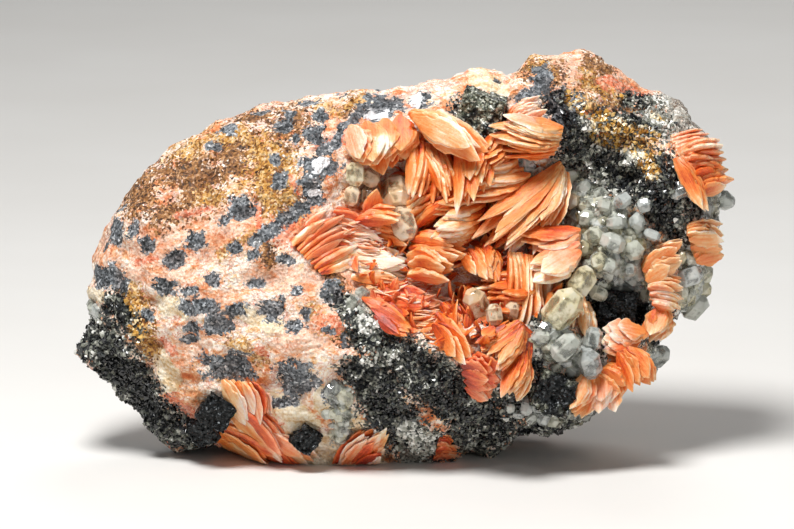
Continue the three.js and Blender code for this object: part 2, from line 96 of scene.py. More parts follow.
# ---------------------------------------------------------------- zones of the rock's colour
# Galena spots lying flush in the rock: middle across and up, half width, half height.
ORE_SPOTS = [
    (-26.7, 20.6, 1.7, 1.4), (-28.4, 17.9, 1.3, 0.7), (-14.5, 24.5, 1.6, 0.8), (-9.7, 25.3, 0.7, 0.6),
    (-21.7, 23.1, 1.3, 0.4), (-17.2, 22.4, 1, 0.8), (-18.2, 20.7, 1.5, 1.1), (-12.6, 22.2, 1.4, 0.9),
    (-13.5, 19.6, 1.8, 1.5), (-16.5, 19, 0.7, 1.1), (-3.4, 24.3, 2.8, 1.6), (-4.2, 22.5, 2.2, 1.1),
    (1.9, 24.6, 1.7, 1.5), (13.5, 27.6, 0.8, 0.8), (17.4, 24.9, 1.5, 1.5), (20.1, 27.9, 1.6, 3.2),
    (23.1, 23.7, 2.5, 3.3), (-42.7, 8.4, 1.3, 1.1), (-43.6, 5.2, 1.9, 2.2), (-44.7, 3, 1, 0.9),
    (-40.8, 5.4, 0.9, 1.3), (-38.5, 3.3, 1.3, 1.3), (-31.3, 4, 1.7, 1.4), (-34.5, 0.9, 1.6, 1.5),
    (-27, 7, 1, 0.9), (-25.2, 2.8, 1.3, 1), (-24.3, 8.5, 1.9, 1.6), (-19.5, 15.6, 0.8, 0.8),
    (-18.7, 12.7, 1.3, 1.5), (-12.4, 15, 2.8, 1.6), (-13.9, 11.4, 2.1, 2), (-22.6, 1.6, 1.2, 0.8),
    (-17.7, 0.9, 1.8, 0.8), (-44.7, -1.8, 3, 1.7), (-42.1, -3.2, 0.8, 1.5), (-35.5, -3.2, 1.9, 1.4),
    (-28.3, -2, 1.2, 1), (-32.2, -3.6, 1.4, 0.5), (-30.6, -6, 2.6, 1.4), (-31.5, -9.1, 1.2, 1),
    (-27.9, -8.7, 2.3, 1.8), (-24.9, -6.6, 1.8, 1), (-31.8, -11, 1.3, 0.6), (-38.1, -7.4, 1.1, 1.1),
    (-26.1, -14.9, 4, 2.2), (-22, -2.6, 1.3, 0.8), (-15.9, -3.7, 1, 0.6), (-18.6, -4.6, 0.5, 0.6),
    (-11.1, -3.6, 1.6, 1.6), (-20, -6.6, 2.2, 1.5), (-14.9, -7, 0.8, 1.1), (-16.4, -9, 1.5, 1),
    (-12.9, -1.5, 0.6, 0.5), (-3.6, -3.6, 0.9, 1.5), (-16.4, -16.4, 3, 2.9), (-19.2, -20.3, 2.7, 0.8),
    (-10.8, -18.9, 1.3, 1.4), (-11.6, -9.6, 0.9, 0.7), (-9.3, -11, 0.5, 1.7),
]
# The rest of the zones are strokes: start and end across and up, and half width.
ORE_STROKES = [
    (-6.7, 23.2, -9.7, 20.4, 0.9), (-9.7, 20.4, -10.5, 18.1, 0.9), (-10.5, 18.1, -12.9, 16.6, 0.8),
    (-15, 8.7, -18.4, 6.6, 1.4), (-18.4, 6.6, -22.5, 3.6, 1.1), (-46, -1, -43, -2.4, 1.2),
]
# Painted highlights: galena cleavage faces painted near-white as if they caught the lamp: start and end
# across and up, and half width.
CLEAVAGE_GLINT_STROKES = [
    (-5.6, 22.4, -3.2, 22.6, 0.9), (1.2, 24, 1.8, 24.8, 1), (-13.3, 14.6, -12.5, 15.6, 1.1),
    (-14, 10.7, -13, 10.9, 0.6), (-5.4, 23.2, -4.8, 22.8, 0.6),
]
STROKES = {
    "ochre": [
        (-18.8, 17.4, -16.8, 9.4, 2.4), (-33, 12, -25, 14, 3), (-40, 10.5, -28, 16.5, 4.2),
        (-28, 16.5, -17, 21, 4), (-22, 18, -20, 9, 2.8), (-21, 4.6, -20, 1, 1.5),
        (-39.5, -7, -38.5, -13, 2.2), (-36, 8, -28, 11, 3.2), (19, 29.5, 22, 28.5, 2.4),
        (27.4, 27.2, 30.4, 25.6, 1.8), (27, 30.4, 30, 29, 1.4), (26, 22, 28, 18.5, 1.5),
        (29.5, 19, 35.5, 18.4, 1.6), (35.5, 17, 37.2, 14, 1.1), (30, 24, 38, 22.5, 1.8),
        (-13, 1.5, -10, -2.5, 1.4), (-9.8, -9.4, -6.4, -12, 1.8), (-42.5, -3.5, -39, -6, 1.2),
        (-25, 22, -21, 22.6, 1.2), (-9, 22.6, -8, 24.6, 1),
    ],
    "druse": [
        (28, -12, 34, -16, 3), (36, -6, 38, -12, 2), (18, -24.5, 26, -23.6, 1.8),
        (8.4, -5, 14.6, -8.6, 2.2), (19, -6, 19.4, -15, 1.4), (-46.6, -9.6, -37, -23.5, 4.2),
        (-43.4, -5.4, -40, -9.4, 2), (-37, -23.5, -31, -27, 3.2), (-6, -9.5, 1, -15, 3.6),
        (-6, -16, 1, -27, 4.6), (1, -15, 13, -24, 5), (1, -27, 10, -26, 3.6), (16, -20, 24, -19, 4),
        (13, 22, 9, 23, 3), (23, 24, 27, 16, 3.6), (27, 16, 41, 11, 5.6), (29, 21.5, 38, 20.5, 2.4),
        (38, 8, 41, 4, 3.5), (27, -4, 34, -8, 5), (-9.5, -5, -7.4, -7.4, 2), (33, 25, 38, 24, 1.4),
        (40.5, -6.6, 41.2, -8, 1.4),
    ],
    "pale": [
        (-19.6, -20.4, -15, -25.4, 2.4), (-20, -26.5, -6, -29, 3.6), (-12, -20, -7, -24, 2.4),
        (-8.4, 2, -3, -0.2, 2.6), (10.5, 28, 14, 26.5, 1.6), (-8, -5.4, -4.4, -8.6, 1.8),
        (40, 19.6, 43.6, 19.4, 0.9), (-36.6, -13.4, -34.8, -17.4, 2), (-16.2, -21.6, -14.4, -23.4, 2),
        (-36, -5.6, -33, -6.4, 1.8), (-24, -7, -19, -8.8, 1.6), (12.2, -18.8, 14.8, -20.8, 0.9),
        (-47.4, -4, -44, -5, 1.1), (34.9, -4.4, 34.9, -9, 0.6),
    ],
    "red": [
        (-29.6, -24.8, -24, -28.4, 2), (-35, -20, -31, -23.6, 1.5), (-12.6, 17.6, -8.4, 19.6, 1.2),
        (-36.2, -11.4, -34.6, -12.4, 0.9), (-21.6, -12.2, -20.6, -13.2, 0.8), (29, 27.8, 29.6, 27, 0.7),
        (-36.6, -25.4, -31.8, -27.6, 1.8), (-18.5, 5.4, -10, 4.2, 2.6), (-24, -19, -20, -24, 1.8),
        (-13, -8, -10, -9, 1.4), (-17, 13, -16, 11, 0.7), (-34, 7.5, -29, 8.5, 0.6),
        (-37, 1.2, -40, 0.4, 0.6), (30, 28, 36, 25, 0.8), (-21.5, 4.5, -22, 9, 0.5),
        (-9, 20.5, -7, 17, 1.6), (-1, -4, 4, -5, 2),
    ],
    "salmon": [
        (22.5, 30.5, 26, 27.4, 2.4), (31, 28.4, 35.6, 24.4, 2.6), (-38, 3, -20, 5, 4), (-32, 8, -24, 5, 4),
        (-22, -1.6, -8, -2.4, 2.4), (-17, -11, -8, -8, 4), (-30, -11, -34, -14, 2), (-8, -5, -2, -8, 3),
        (26, 30, 32, 27, 2.2), (-46, 3, -44, 0, 2), (-33, -4.6, -25, -4.6, 1.2), (-40, -1, -33, -1.6, 2),
    ],
    "frost": [
        (29.6, 17.4, 34.4, 15.2, 1.9), (26.6, 21.6, 28.6, 20, 1.2), (-9.8, -18.5, -9.4, -25.5, 1.7),
        (0.4, -24.6, 1, -29.6, 2.3), (-7, -5.5, -5.4, -9.4, 1.6), (-46.8, -7, -45.6, -9, 1.5),
        (39.8, 24.4, 44.6, 20.6, 2.6), (25, 10, 33, 1, 5.6), (31, -1, 36, -3, 3.2),
        (38, 22, 44.4, 19.6, 2.8), (20, -20.6, 26, -21.4, 2), (21, -11, 28, -15, 3.8), (43, 1, 43, -4, 3),
        (36.5, -14, 38, -16, 2.2), (44, 12.5, 46.6, 8, 2.4), (0.5, -26.4, 2.6, -26, 1.6),
        (14.6, 15, 18, 13.6, 2),
    ],
    "amber": [
        (-17.6, 15.6, -17, 8.8, 1.6), (-13, 24, -10, 23, 1), (-21.5, 18.5, -19, 8.5, 2.6),
        (-40.5, -4, -38.6, -8.5, 1.5), (-39.6, -9, -37.4, -12.6, 1.5), (18.8, 30.6, 20.6, 28.8, 1.5),
        (25.4, 25.2, 29, 21.8, 2), (29.4, 20.2, 36, 18, 2.3), (34.6, 17.2, 36.4, 13.8, 1.2),
        (36.8, 22.4, 38, 21.6, 0.9), (-25.4, -11.4, -21.4, -13.8, 1.5), (-14.2, -6.8, -11.6, -9.2, 1.5),
        (27, 27.8, 31.4, 26, 1.7), (-34, 17, -24, 20, 1.6), (-27, 2, -20, 5.6, 1.2),
        (-15.6, 7.4, -16.2, 4.6, 1.1), (-30, 10, -24, 12, 1.6), (-9.6, 23.4, -6, 25, 1),
    ],
    # Darker grit: painted shade on the lower left, where the block turns under, and darker grit elsewhere.
    "dark": [
        (-46.6, -9.6, -37, -23.5, 4.6), (-40, -22, -32, -26.5, 3.4), (24, 20, 27, 16, 3),
        (37.6, 13, 41.6, 10, 3.8), (16, -19, 25, -19.4, 4), (30, -4, 35, -8, 4), (-2, -20, 8, -22, 2.4),
        (14, 23, 16, 17, 2),
    ],
}
# Where the pale rock shows through the ochre: middle across and up, radius.
BARE_PLACES = [(-21.4, 20.2, 2.6), (-35.4, 11.2, 3), (-28.8, 16.6, 2.4), (-26.6, 12, 2.4), (31, 26.6, 1.6)]

# These two uneven numbers scatter the seeds.
CHANCE_STEP = 12.9898
CHANCE_SPREAD = 43758.5453


def chance(seed):
    """A number from 0 to 1 that depends only on its seed."""
    value = math.sin(seed * CHANCE_STEP) * CHANCE_SPREAD
    return value - math.floor(value)


def varied(least, spread, seed):
    """A number that chance lifts above the least by up to the spread."""
    return least + spread * chance(seed)


def swing(amount, seed):
    """A number that chance moves to either side of 0, by up to half the amount."""
    return amount * (chance(seed) - 0.5)


def smooth_step(low, high, value):
    """0 below the low value and 1 above the high one, with a smooth rise between."""
    x = np.clip((value - low) / (high - low), 0, 1)
    return x * x * (3 - 2 * x)


def inside(middle_across, middle_up, half_width, half_height, across, up):
    """1 in the middle of an ellipse on the face, fading to 0 at its edge."""
    away = np.hypot((across - middle_across) / half_width, (up - middle_up) / half_height)
    return 1 - smooth_step(*OVAL_FADE, away)


def nearness(places, points):
    """1 close to the middle of any of the places, fading to 0 beyond its radius."""
    nearest = np.full(len(points), FAR_OFF)
    for x, z, radius in places:
        nearest = np.minimum(nearest, np.hypot(points[:, 0] - x, points[:, 2] - z) / radius)
    return 1 - smooth_step(*PLACE_FADE, nearest)


def stroke_depth(strokes, across, up):
    """How deep each place lies inside the nearest stroke: 1 on its line, 0 on its edge."""
    depth = np.full(len(across), -FAR_OFF)
    for ax, az, bx, bz, half in strokes:
        dx = bx - ax
        dz = bz - az
        along = np.clip(((across - ax) * dx + (up - az) * dz) / (dx * dx + dz * dz), 0, 1)
        away = np.hypot(across - ax - along * dx, up - az - along * dz)
        depth = np.maximum(depth, (half - away) / half)
    return depth


def soft_least(planes, across, up):
    """The least of some depths, with the edges between them rounded off."""
    depths = np.array([middle + per_across * across + per_up * up for middle, per_across, per_up in planes])
    least = depths.min(axis=0)
    return least - PLANE_SOFTNESS * np.log(np.exp((least - depths) / PLANE_SOFTNESS).sum(axis=0))


def rim_radius(angle):
    """Distance from the middle of the face to the rim, in the direction of each angle."""
    angle = np.atleast_1d(angle)
    rim = np.array(RIM)
    ahead = np.roll(rim, -1, axis=0)
    x = np.cos(angle)[:, None]
    z = np.sin(angle)[:, None]
    side = x * rim[:, 1] - z * rim[:, 0]
    next_side = x * ahead[:, 1] - z * ahead[:, 0]
    facing = x * (rim[:, 0] + ahead[:, 0]) + z * (rim[:, 1] + ahead[:, 1]) > 0
    crossed = np.argmax((side <= 0) & (next_side > 0) & facing, axis=1)
    rows = np.arange(len(angle))
    along = side[rows, crossed] / (side[rows, crossed] - next_side[rows, crossed])
    meet = rim[crossed] + along[:, None] * (ahead[crossed] - rim[crossed])
    return np.hypot(meet[:, 0], meet[:, 1])


def ripple(across, up):
    """Low waves that never repeat evenly, from about -1 to 1."""
    a = across / RIPPLE_WAVE
    b = up / RIPPLE_WAVE
    first = np.sin(2.1 * a + 1.7 * np.sin(1.3 * b + 0.5))
    second = np.sin(1.9 * b + 1.5 * np.sin(1.6 * a + 2.1))
    return (first + second) / 2 + 0.5 * np.sin(4.3 * a - 3.1 * b) * np.sin(2.2 * a + 4.7 * b)


def relief(across, up):
    """How far the waves, hollows and lumps move the front at each place."""
    rise = RIPPLE_HEIGHT * ripple(across, up)
    for x, z, half_width, half_height, height in HOLLOWS:
        away = np.hypot((across - x) / half_width, (up - z) / half_height)
        rise = rise + height * (1 - smooth_step(*HOLLOW_WALL, away))
    for x, z, half_width, half_height, height in LUMPS:
        rise = rise + height * np.exp(-(((across - x) / half_width) ** 2) - ((up - z) / half_height) ** 2)
    return rise


def standing(across, up, fullness, in_front):
    """How far the rock stands out of the middle plane where its shoulder is this full."""
    front = fullness * soft_least(FRONT_PLANES, across, up)
    front = front + np.minimum(1, RELIEF_START * fullness) * relief(across, up)
    back = fullness * (soft_least(BACK_PLANES, across, up) + BACK_RIPPLE * ripple(up, across))
    return np.where(in_front, front, back)


def front_heights(across, up):
    """Height of the rock's front over the middle plane at each place on the face."""
    share = np.minimum(1, np.hypot(across, up) / rim_radius(np.arctan2(up, across)))
    fullness = (1 - share ** (2 / SQUARENESS)) ** (SQUARENESS / 2)
    return standing(across, up, fullness, True)


def front_height(across, up):
    """Height of the rock's front over the middle plane at one place."""
    return float(front_heights(np.array([float(across)]), np.array([float(up)]))[0])


def to_world(points):
    """Face-frame points (across, back, up) in millimetres, as world points in metres."""
    points = np.asarray(points, dtype=float).reshape(-1, 3)
    world = np.empty_like(points)
    world[:, 0] = points[:, 0] + SHIFT_ACROSS
    world[:, 1] = points[:, 1] * LEAN_COSINE + points[:, 2] * LEAN_SINE + SHIFT_BACK
    world[:, 2] = points[:, 2] * LEAN_COSINE - points[:, 1] * LEAN_SINE + FOOT_DROP
    return world * MM


def to_face(world):
    """World points in metres, as face-frame points in millimetres."""
    back = world[:, 1] / MM - SHIFT_BACK
    up = world[:, 2] / MM - FOOT_DROP
    return np.column_stack([
        world[:, 0] / MM - SHIFT_ACROSS,
        back * LEAN_COSINE - up * LEAN_SINE,
        up * LEAN_COSINE + back * LEAN_SINE,
    ])


# ---------------------------------------------------------------- meshes
def new_object(name, points, faces, attributes=None, smooth=False):
    """A mesh object at the origin, with its place in its vertices."""
    mesh = bpy.data.meshes.new(name)
    mesh.from_pydata([tuple(p) for p in points], [], [tuple(f) for f in faces])
    for key, values in (attributes or {}).items():
        values = np.asarray(values, dtype=np.float32)
        kind = "FLOAT" if values.ndim == 1 else "FLOAT_VECTOR"
        layer = mesh.attributes.new(key, kind, "POINT")
        layer.data.foreach_set("value" if values.ndim == 1 else "vector", values.ravel())
    mesh.polygons.foreach_set("use_smooth", [smooth] * len(mesh.polygons))
    mesh.update()
    piece = bpy.data.objects.new(name, mesh)
    bpy.context.scene.collection.objects.link(piece)
    return piece


def merged(name, parts):
    """One mesh object from several meshes given as (points, faces, attributes)."""
    points = []
    faces = []
    attributes = {}
    count = 0
    for part_points, part_faces, part_attributes in parts:
        points.append(part_points)
        faces.extend([tuple(int(i) + count for i in face) for face in part_faces])
        count += len(part_points)
        for key, values in part_attributes.items():
            attributes.setdefault(key, []).append(values)
    joined = {key: np.concatenate(values) for key, values in attributes.items()}
    return new_object(name, np.concatenate(points), faces, joined)


def icosphere(frequency):
    """Unit directions and triangles of an icosahedron whose edges are cut into equal steps."""
    golden = (1 + math.sqrt(5)) / 2
    shape = bmesh.new()
    for turn in range(3):
        for s in (-1, 1):
            for t in (-1, 1):
                corner = (s, golden * t, 0)
                shape.verts.new(corner[-turn:] + corner[:-turn])
    bmesh.ops.convex_hull(shape, input=shape.verts)
    bmesh.ops.recalc_face_normals(shape, faces=shape.faces)
    triangles = [[tuple(v.co) for v in face.verts] for face in shape.faces]
    shape.free()
    found = {}
    points = []
    faces = []

    def place(point):
        length = math.sqrt(sum(c * c for c in point))
        unit_point = tuple(c / length for c in point)
        key = tuple(round(c, 6) for c in unit_point)
        if key not in found:
            found[key] = len(points)
            points.append(unit_point)
        return found[key]

    for a, b, c in triangles:
        rows = []
        for i in range(frequency + 1):
            row = []
            for j in range(i + 1):
                u = (frequency - i) / frequency
                v = (i - j) / frequency
                w = j / frequency
                row.append(place(tuple(u * a[k] + v * b[k] + w * c[k] for k in range(3))))
            rows.append(row)
        for i in range(frequency):
            for j in range(i + 1):
                faces.append((rows[i][j], rows[i + 1][j], rows[i + 1][j + 1]))
                if j < i:
                    faces.append((rows[i][j], rows[i + 1][j + 1], rows[i][j + 1]))
    return np.array(points), faces


def vertex_normals(points, faces):
    """The outward direction at every vertex of a closed mesh of triangles."""
    corner = points[faces]
    flat = np.cross(corner[:, 1] - corner[:, 0], corner[:, 2] - corner[:, 0])
    total = np.zeros_like(points)
    for k in range(3):
        np.add.at(total, faces[:, k], flat)
    return total / np.maximum(np.linalg.norm(total, axis=1), 1e-12)[:, None]


ROUGHNESS = (0.9, 2.1) # how fast finer bumps get lower, and how much finer each octave is


def chips(points, size, flat):
    """Broken facets, flat above a level: each place's distance to the border between two random chips."""
    values = np.empty(len(points))
    for i, (x, y, z) in enumerate(points / size):
        near = noise.voronoi((x, y, z))[0]
        values[i] = near[1] - near[0]
    return np.minimum(values, flat)


def rough(points, size, octaves):
    """Fractal roughness, from -1 to 1, whose largest bumps have this size."""
    values = np.empty(len(points))
    for i, (x, y, z) in enumerate(points / size):
        values[i] = noise.fractal((x, y, z), *ROUGHNESS, octaves)
    return values


# ---------------------------------------------------------------- the rock
FRONT_BIAS = 0.5 # shifts the rock's vertices towards its display face
ROCK_FREQUENCY = 96
OUTSIDE = -2 # the depth of what lies well outside a zone
SPOT_DEPTH = 1.3 # how deep a galena spot reaches, to its larger half size
SPOT_EDGE = 1.15 # where a spot ends, in shares of its half size
FULL_SPOT = 2.4 # a spot whose half sizes add up to less is fainter
BACK_SPOTS = 130
BACK_SPOTS_FROM = 2
BACK_SPOT_SIZES = (0.8, 2.6)
BACK_SPOT_FLATNESS = (0.6, 1.0)
BACK_CUTS = 14
CUT_ASIDE = (-0.9, 0.9) # how far a fracture face of the back looks aside, and up
CUT_UPWARD = (-0.5, 0.9)
CUT_DEPTHS = (0.86, 0.94) # where it lies, as a share of the block's reach that way
CUT_START = (1, 5) # behind the middle plane, where it sets in
SHOULDER = (0, 9) # behind the middle plane, where the drawn zones give way to broad random ones
WANDERS = ((31, 14), (77, 11)) # two wandering noises: the shift that sets each apart, and its width
BARENESS = 0.5 # how much of the ochre the bare places lose
# The zones of the back: weights of the two noises, and what is added.
BACK_ZONES = {
    "ochre": (2.2, 0, -0.5), "druse": (0, 2.4, -0.75), "pale": (-2, 0, -0.6), "red": (0, -2.2, -1),
    "salmon": (1.6, 0, -0.1), "frost": (0, 1.5, -1), "amber": (2.4, 0, -0.9), "dark": (0, 2.4, -1.4),
}
# The broken skin, in millimetres: how high its forms stand and how wide they are, and the level, from
# 0 to 1, above which a chip is flat. Druse adds teeth, clusters of them and swells.
STEP_HEIGHT, STEP_WIDTH, STEP_FLAT, STEP_SINK = 1.1, 8.5, 0.6, 0.3
KNOB_HEIGHT, KNOB_WIDTH = 0.66, 3.4
GRAIN_WIDTH = 0.95
GRAIN_HEIGHT, OCHRE_GRAIN_HEIGHT, DRUSE_GRAIN_HEIGHT = 0.17, 0.14, 0.30
TOOTH_HEIGHT, TOOTH_WIDTH, TOOTH_FLAT = 0.35, 1.7, 0.8
CLUSTER_HEIGHT, CLUSTER_WIDTH, CLUSTER_FLAT, CLUSTER_SINK = 1.3, 4.4, 0.55, 0.4
SWELL_HEIGHT, SWELL_WIDTH = 0.7, 4.2
ORE_SINK = 0.15
SKIN_EDGE = (-0.2, 0.5) # from where to where, in depth, a zone's own skin sets in
ORE_SKIN_EDGE = (-0.1, 0.2)


def fractured(points):
    """The points with flat fracture faces cut into the back, none of which reaches the rim."""
    generator = np.random.RandomState(SEED)
    for _ in range(BACK_CUTS):
        aim = np.array([generator.uniform(*CUT_ASIDE), 1, generator.uniform(*CUT_UPWARD)])
        normal = aim / np.linalg.norm(aim)
        reach = points @ normal
        beyond = np.maximum(reach - generator.uniform(*CUT_DEPTHS) * reach.max(), 0)
        points = points - (beyond * smooth_step(*CUT_START, points[:, 1]))[:, None] * normal
    return points


def rock_zones(points):
    """How deep every vertex lies in each zone of the rock's colour."""
    across, back, up = points.T
    generator = np.random.RandomState(SEED)
    seats = [(x, -front_height(x, z), z, w, SPOT_DEPTH * max(w, h), h) for x, z, w, h in ORE_SPOTS]
    hidden = np.flatnonzero(back > BACK_SPOTS_FROM)
    for i in generator.choice(hidden, BACK_SPOTS, replace=False):
        size = generator.uniform(*BACK_SPOT_SIZES)
        flat = generator.uniform(*BACK_SPOT_FLATNESS)
        seats.append((*points[i], size, size, size * flat))
    ore = np.full(len(points), float(OUTSIDE))
    for x, y, z, w, d, h in seats:
        away = np.sqrt(((across - x) / w) ** 2 + ((back - y) / d) ** 2 + ((up - z) / h) ** 2)
        ore = np.maximum(ore, (SPOT_EDGE - away) * min(1.0, (w + h) / FULL_SPOT))
    drawn = 1 - smooth_step(*SHOULDER, back)
    wander, wander_more = (rough(points + shift, width, 3) for shift, width in WANDERS)
    depth_of = {}
    for key, strokes in STROKES.items():
        first, second, offset = BACK_ZONES[key]
        at_back = first * wander + second * wander_more + offset
        depth_of[key] = drawn * stroke_depth(strokes, across, up).clip(-1.5, 1) + (1 - drawn) * at_back
    bare = BARENESS * drawn * nearness(BARE_PLACES, points)
    depth_of["ochre"] -= bare
    depth_of["amber"] -= bare
    front_ore, painted_glint = (
        np.where(drawn > 0.5, stroke_depth(strokes, across, up).clip(OUTSIDE, 1), OUTSIDE)
        for strokes in (ORE_STROKES, CLEAVAGE_GLINT_STROKES)
    )
    depth_of["ore"] = np.maximum(ore, front_ore)
    depth_of["painted_glint"] = painted_glint
    return depth_of


def rock_skin(points, zones):
    """How far the broken skin stands out at every vertex: steps, knobs, and grains, coarsest in druse."""
    druse = smooth_step(*SKIN_EDGE, zones["druse"])
    ochre = smooth_step(*SKIN_EDGE, zones["ochre"])
    ore = smooth_step(*ORE_SKIN_EDGE, zones["ore"])
    grain_height = (GRAIN_HEIGHT + OCHRE_GRAIN_HEIGHT * ochre + DRUSE_GRAIN_HEIGHT * druse) * (1 - ore)
    # The shifts keep one kind of form from following another.
    lift = STEP_HEIGHT * chips(points, STEP_WIDTH, STEP_FLAT) - STEP_SINK
    lift += KNOB_HEIGHT * rough(points, KNOB_WIDTH, 4)
    lift += grain_height * rough(points + 50, GRAIN_WIDTH, 3)
    lift += TOOTH_HEIGHT * druse * chips(points + 9, TOOTH_WIDTH, TOOTH_FLAT)
    lift += druse * (CLUSTER_HEIGHT * chips(points + 20, CLUSTER_WIDTH, CLUSTER_FLAT) - CLUSTER_SINK)
    lift += SWELL_HEIGHT * druse * rough(points + 70, SWELL_WIDTH, 2)
    return lift - ORE_SINK * ore


def rock_piece(frequency):
    """The block with its broken, granular skin, and the zones of its colour on its vertices."""
    ball, faces = icosphere(frequency)
    ball = ball + np.array([0, -FRONT_BIAS, 0])
    ball = ball / np.linalg.norm(ball, axis=1)[:, None]
    faces = np.array(faces)
    x, y, z = ball.T
    turn = np.arctan2(z, x)
    latitude = np.arctan2(np.abs(y), np.hypot(x, z))
    share = np.cos(latitude) ** SQUARENESS * rim_radius(turn)
    across = share * np.cos(turn)
    up = share * np.sin(turn)
    in_front = y < 0
    out = standing(across, up, np.sin(latitude) ** SQUARENESS, in_front)
    points = fractured(np.column_stack([across, np.where(in_front, -out, out), up]))
    zones = rock_zones(points)
    lift = rock_skin(points, zones)
    # Painted shade: how deep each place lies in a hollow of the skin, used to darken the rock and its grit
    # there.
    zones["pit_shade"] = -lift
    points = points + vertex_normals(points, faces) * lift[:, None]
    world = to_world(points)
    world[:, 2] = np.maximum(world[:, 2], 0)
    return world, faces, zones


# ---------------------------------------------------------------- barite
# Rows of blades: first root, first tip, last root, last tip (across and up), count, lift of the roots
# and of the tips over the rock, blade width, roll out of the face (90 stands on edge).
BARITE = {
    "barite_pocket": [
        ((-7.8, 20.6), (-5.4, 13.8), (-0.6, 22), (-0.8, 14.6), 4, 1.4, 4, 5.4, 18),
        ((0.8, 22.9), (13, 17), (1.8, 21.8), (10.4, 17.4), 3, 3, 8, 5, 22),
        ((1.7, 18.6), (0.9, 9.5), (4.6, 17.6), (4.1, 9), 3, 1.5, 4.5, 3, 62),
        ((2.7, 17.6), (6.8, 11.3), (4.8, 17.4), (7.4, 9), 3, 2.5, 6, 2.6, 50),
        ((8.4, 18.4), (9.6, 7.3), (10.9, 18.1), (11.6, 11.8), 3, 2.5, 7, 3, 45),
        ((4, 18), (5.2, 9), (10.5, 18.5), (9.5, 9), 4, 0, 1.5, 5, 15),
        ((16.6, 14.6), (8.6, 12.1), (18.2, 12.8), (9.2, 10.6), 3, 3, 7, 2.8, 60),
        ((23, 19.8), (12.6, 20.8), (22.4, 17.9), (12.9, 19), 4, 2, 4.5, 4, 68),
        ((22, 17.4), (13.4, 18.3), (20.5, 16.6), (15.6, 17.4), 3, 1, 2.5, 3, 70),
        ((15, 21.9), (20.5, 25.3), (15.6, 21.2), (20.4, 24), 2, 1, 1.5, 2.6, 30),
        ((13.4, 19.4), (11.6, 15), (15, 17.6), (12.6, 14.2), 3, 1, 4, 3.2, 50),
        ((23.2, 14.6), (10.2, 3), (23.4, 14.2), (20, 4.4), 8, 3, 8, 3.8, 36),
        ((20, 11.5), (12.6, 6.8), (21, 10), (16.4, 3.6), 4, 1.5, 4, 4, 20),
        ((11.8, 9.9), (3, 7.4), (11.2, 5.9), (4.6, 2.8), 7, 1.8, 6.5, 3, 45),
        ((-1.4, 7.2), (3.4, 12), (1, 6.4), (7.2, 11), 4, 1.5, 4, 3, 45),
        ((-5.7, 6.6), (-4.8, 12.3), (-3.6, 6.2), (-2.8, 11), 2, 0.5, 2, 2.6, 35),
        ((-7.6, 7.2), (-0.6, 7.6), (-4.2, 5.2), (1.6, 3.8), 3, 0.4, 3, 2.4, 58),
        ((0.9, 4.4), (8.2, 3), (0.6, -0.6), (8, -0.9), 5, 1.5, 5, 3.6, 42),
        ((8.6, 2.1), (11.8, -2.2), (12.2, 2.9), (13.6, -2.3), 4, 2, 6, 2.6, 30),
        ((25.8, 4.6), (16.6, 3), (25.6, 1.6), (18.8, -2), 4, 4.5, 6, 4, 42),
        ((16.4, 2), (16.6, -9.4), (18.2, 1.6), (18.2, -11.8), 2, 4, 6.5, 4, 58),
        ((21, 1), (20.4, -9.4), (22, -4), (22.4, -14.6), 2, 4, 5, 3.6, 52),
        ((18.9, -2), (10, -2.5), (19, -4.6), (12, -5.2), 3, 3, 5.5, 2.8, 68),
        ((5.7, -5.4), (10.6, -13.4), (4.6, -8.6), (9.2, -14.6), 3, 2, 5, 3.6, 25),
        ((16.8, -8.6), (11, -13.2), (13, -9.6), (10.9, -11.6), 3, 3, 4, 2.6, 45),
        ((17.2, -9), (11.4, -13.6), (17.5, -9.6), (14.2, -16.2), 5, 3, 4.5, 2.8, 50),
        ((17.8, -11), (14.4, -19.4), (17.6, -13.4), (15.8, -20.4), 3, 1.5, 3, 3.4, 35),
        ((8.6, -14.2), (13.6, -14.8), (9.2, -17.4), (12.8, -19.6), 4, 1, 2.5, 3.4, 35),
        ((25, -3.6), (25.6, -9.2), (26.2, -5.2), (27.2, -10.7), 2, 1.5, 3, 1.8, 55),
    ],
    "barite_right_book": [
        ((39.4, 18.4), (46.2, 18.8), (42.6, 11.4), (48.2, 13.6), 8, 0.8, -0.2, 4.4, 66),
        ((39.8, 16), (44.6, 8), (40.6, 16.2), (45, 8.8), 2, 2, 1, 2.4, 24),
    ],
    "barite_right_ruffle": [((41.6, 5.5), (47.2, 5.2), (42.8, 1.2), (46.9, 2), 5, 0.8, -0.5, 3.4, 45)],
    "barite_right_lens": [
        ((35, -0.4), (41.3, 5.2), (35.6, -2), (40.4, 1.4), 3, 1, 2.5, 3.6, 32),
        ((35.8, -2.6), (41.5, -3), (36.6, -4.8), (41, -6.2), 4, 1.5, 1, 2.6, 68),
    ],
    "barite_lower_right_fan": [
        ((37.4, -6.4), (35.9, -11.2), (38.8, -6.4), (37.6, -11), 3, 0.3, 1, 3.4, 15),
        ((34.8, -10.4), (28.8, -9.4), (34, -12.4), (29, -14.4), 4, 1.5, 3.4, 3.8, 28),
        ((33, -12), (36.7, -17.4), (31.6, -12.6), (34.6, -18), 3, 2, 2.5, 3.2, 20),
        ((29.6, -14.6), (34, -18), (28.8, -15.4), (32.4, -18.4), 2, 1.5, 2, 2.6, 50),
        ((26.6, -16.2), (24, -22.8), (29.8, -16), (31.4, -21.4), 4, 1.5, 2, 4, 22),
    ],
}
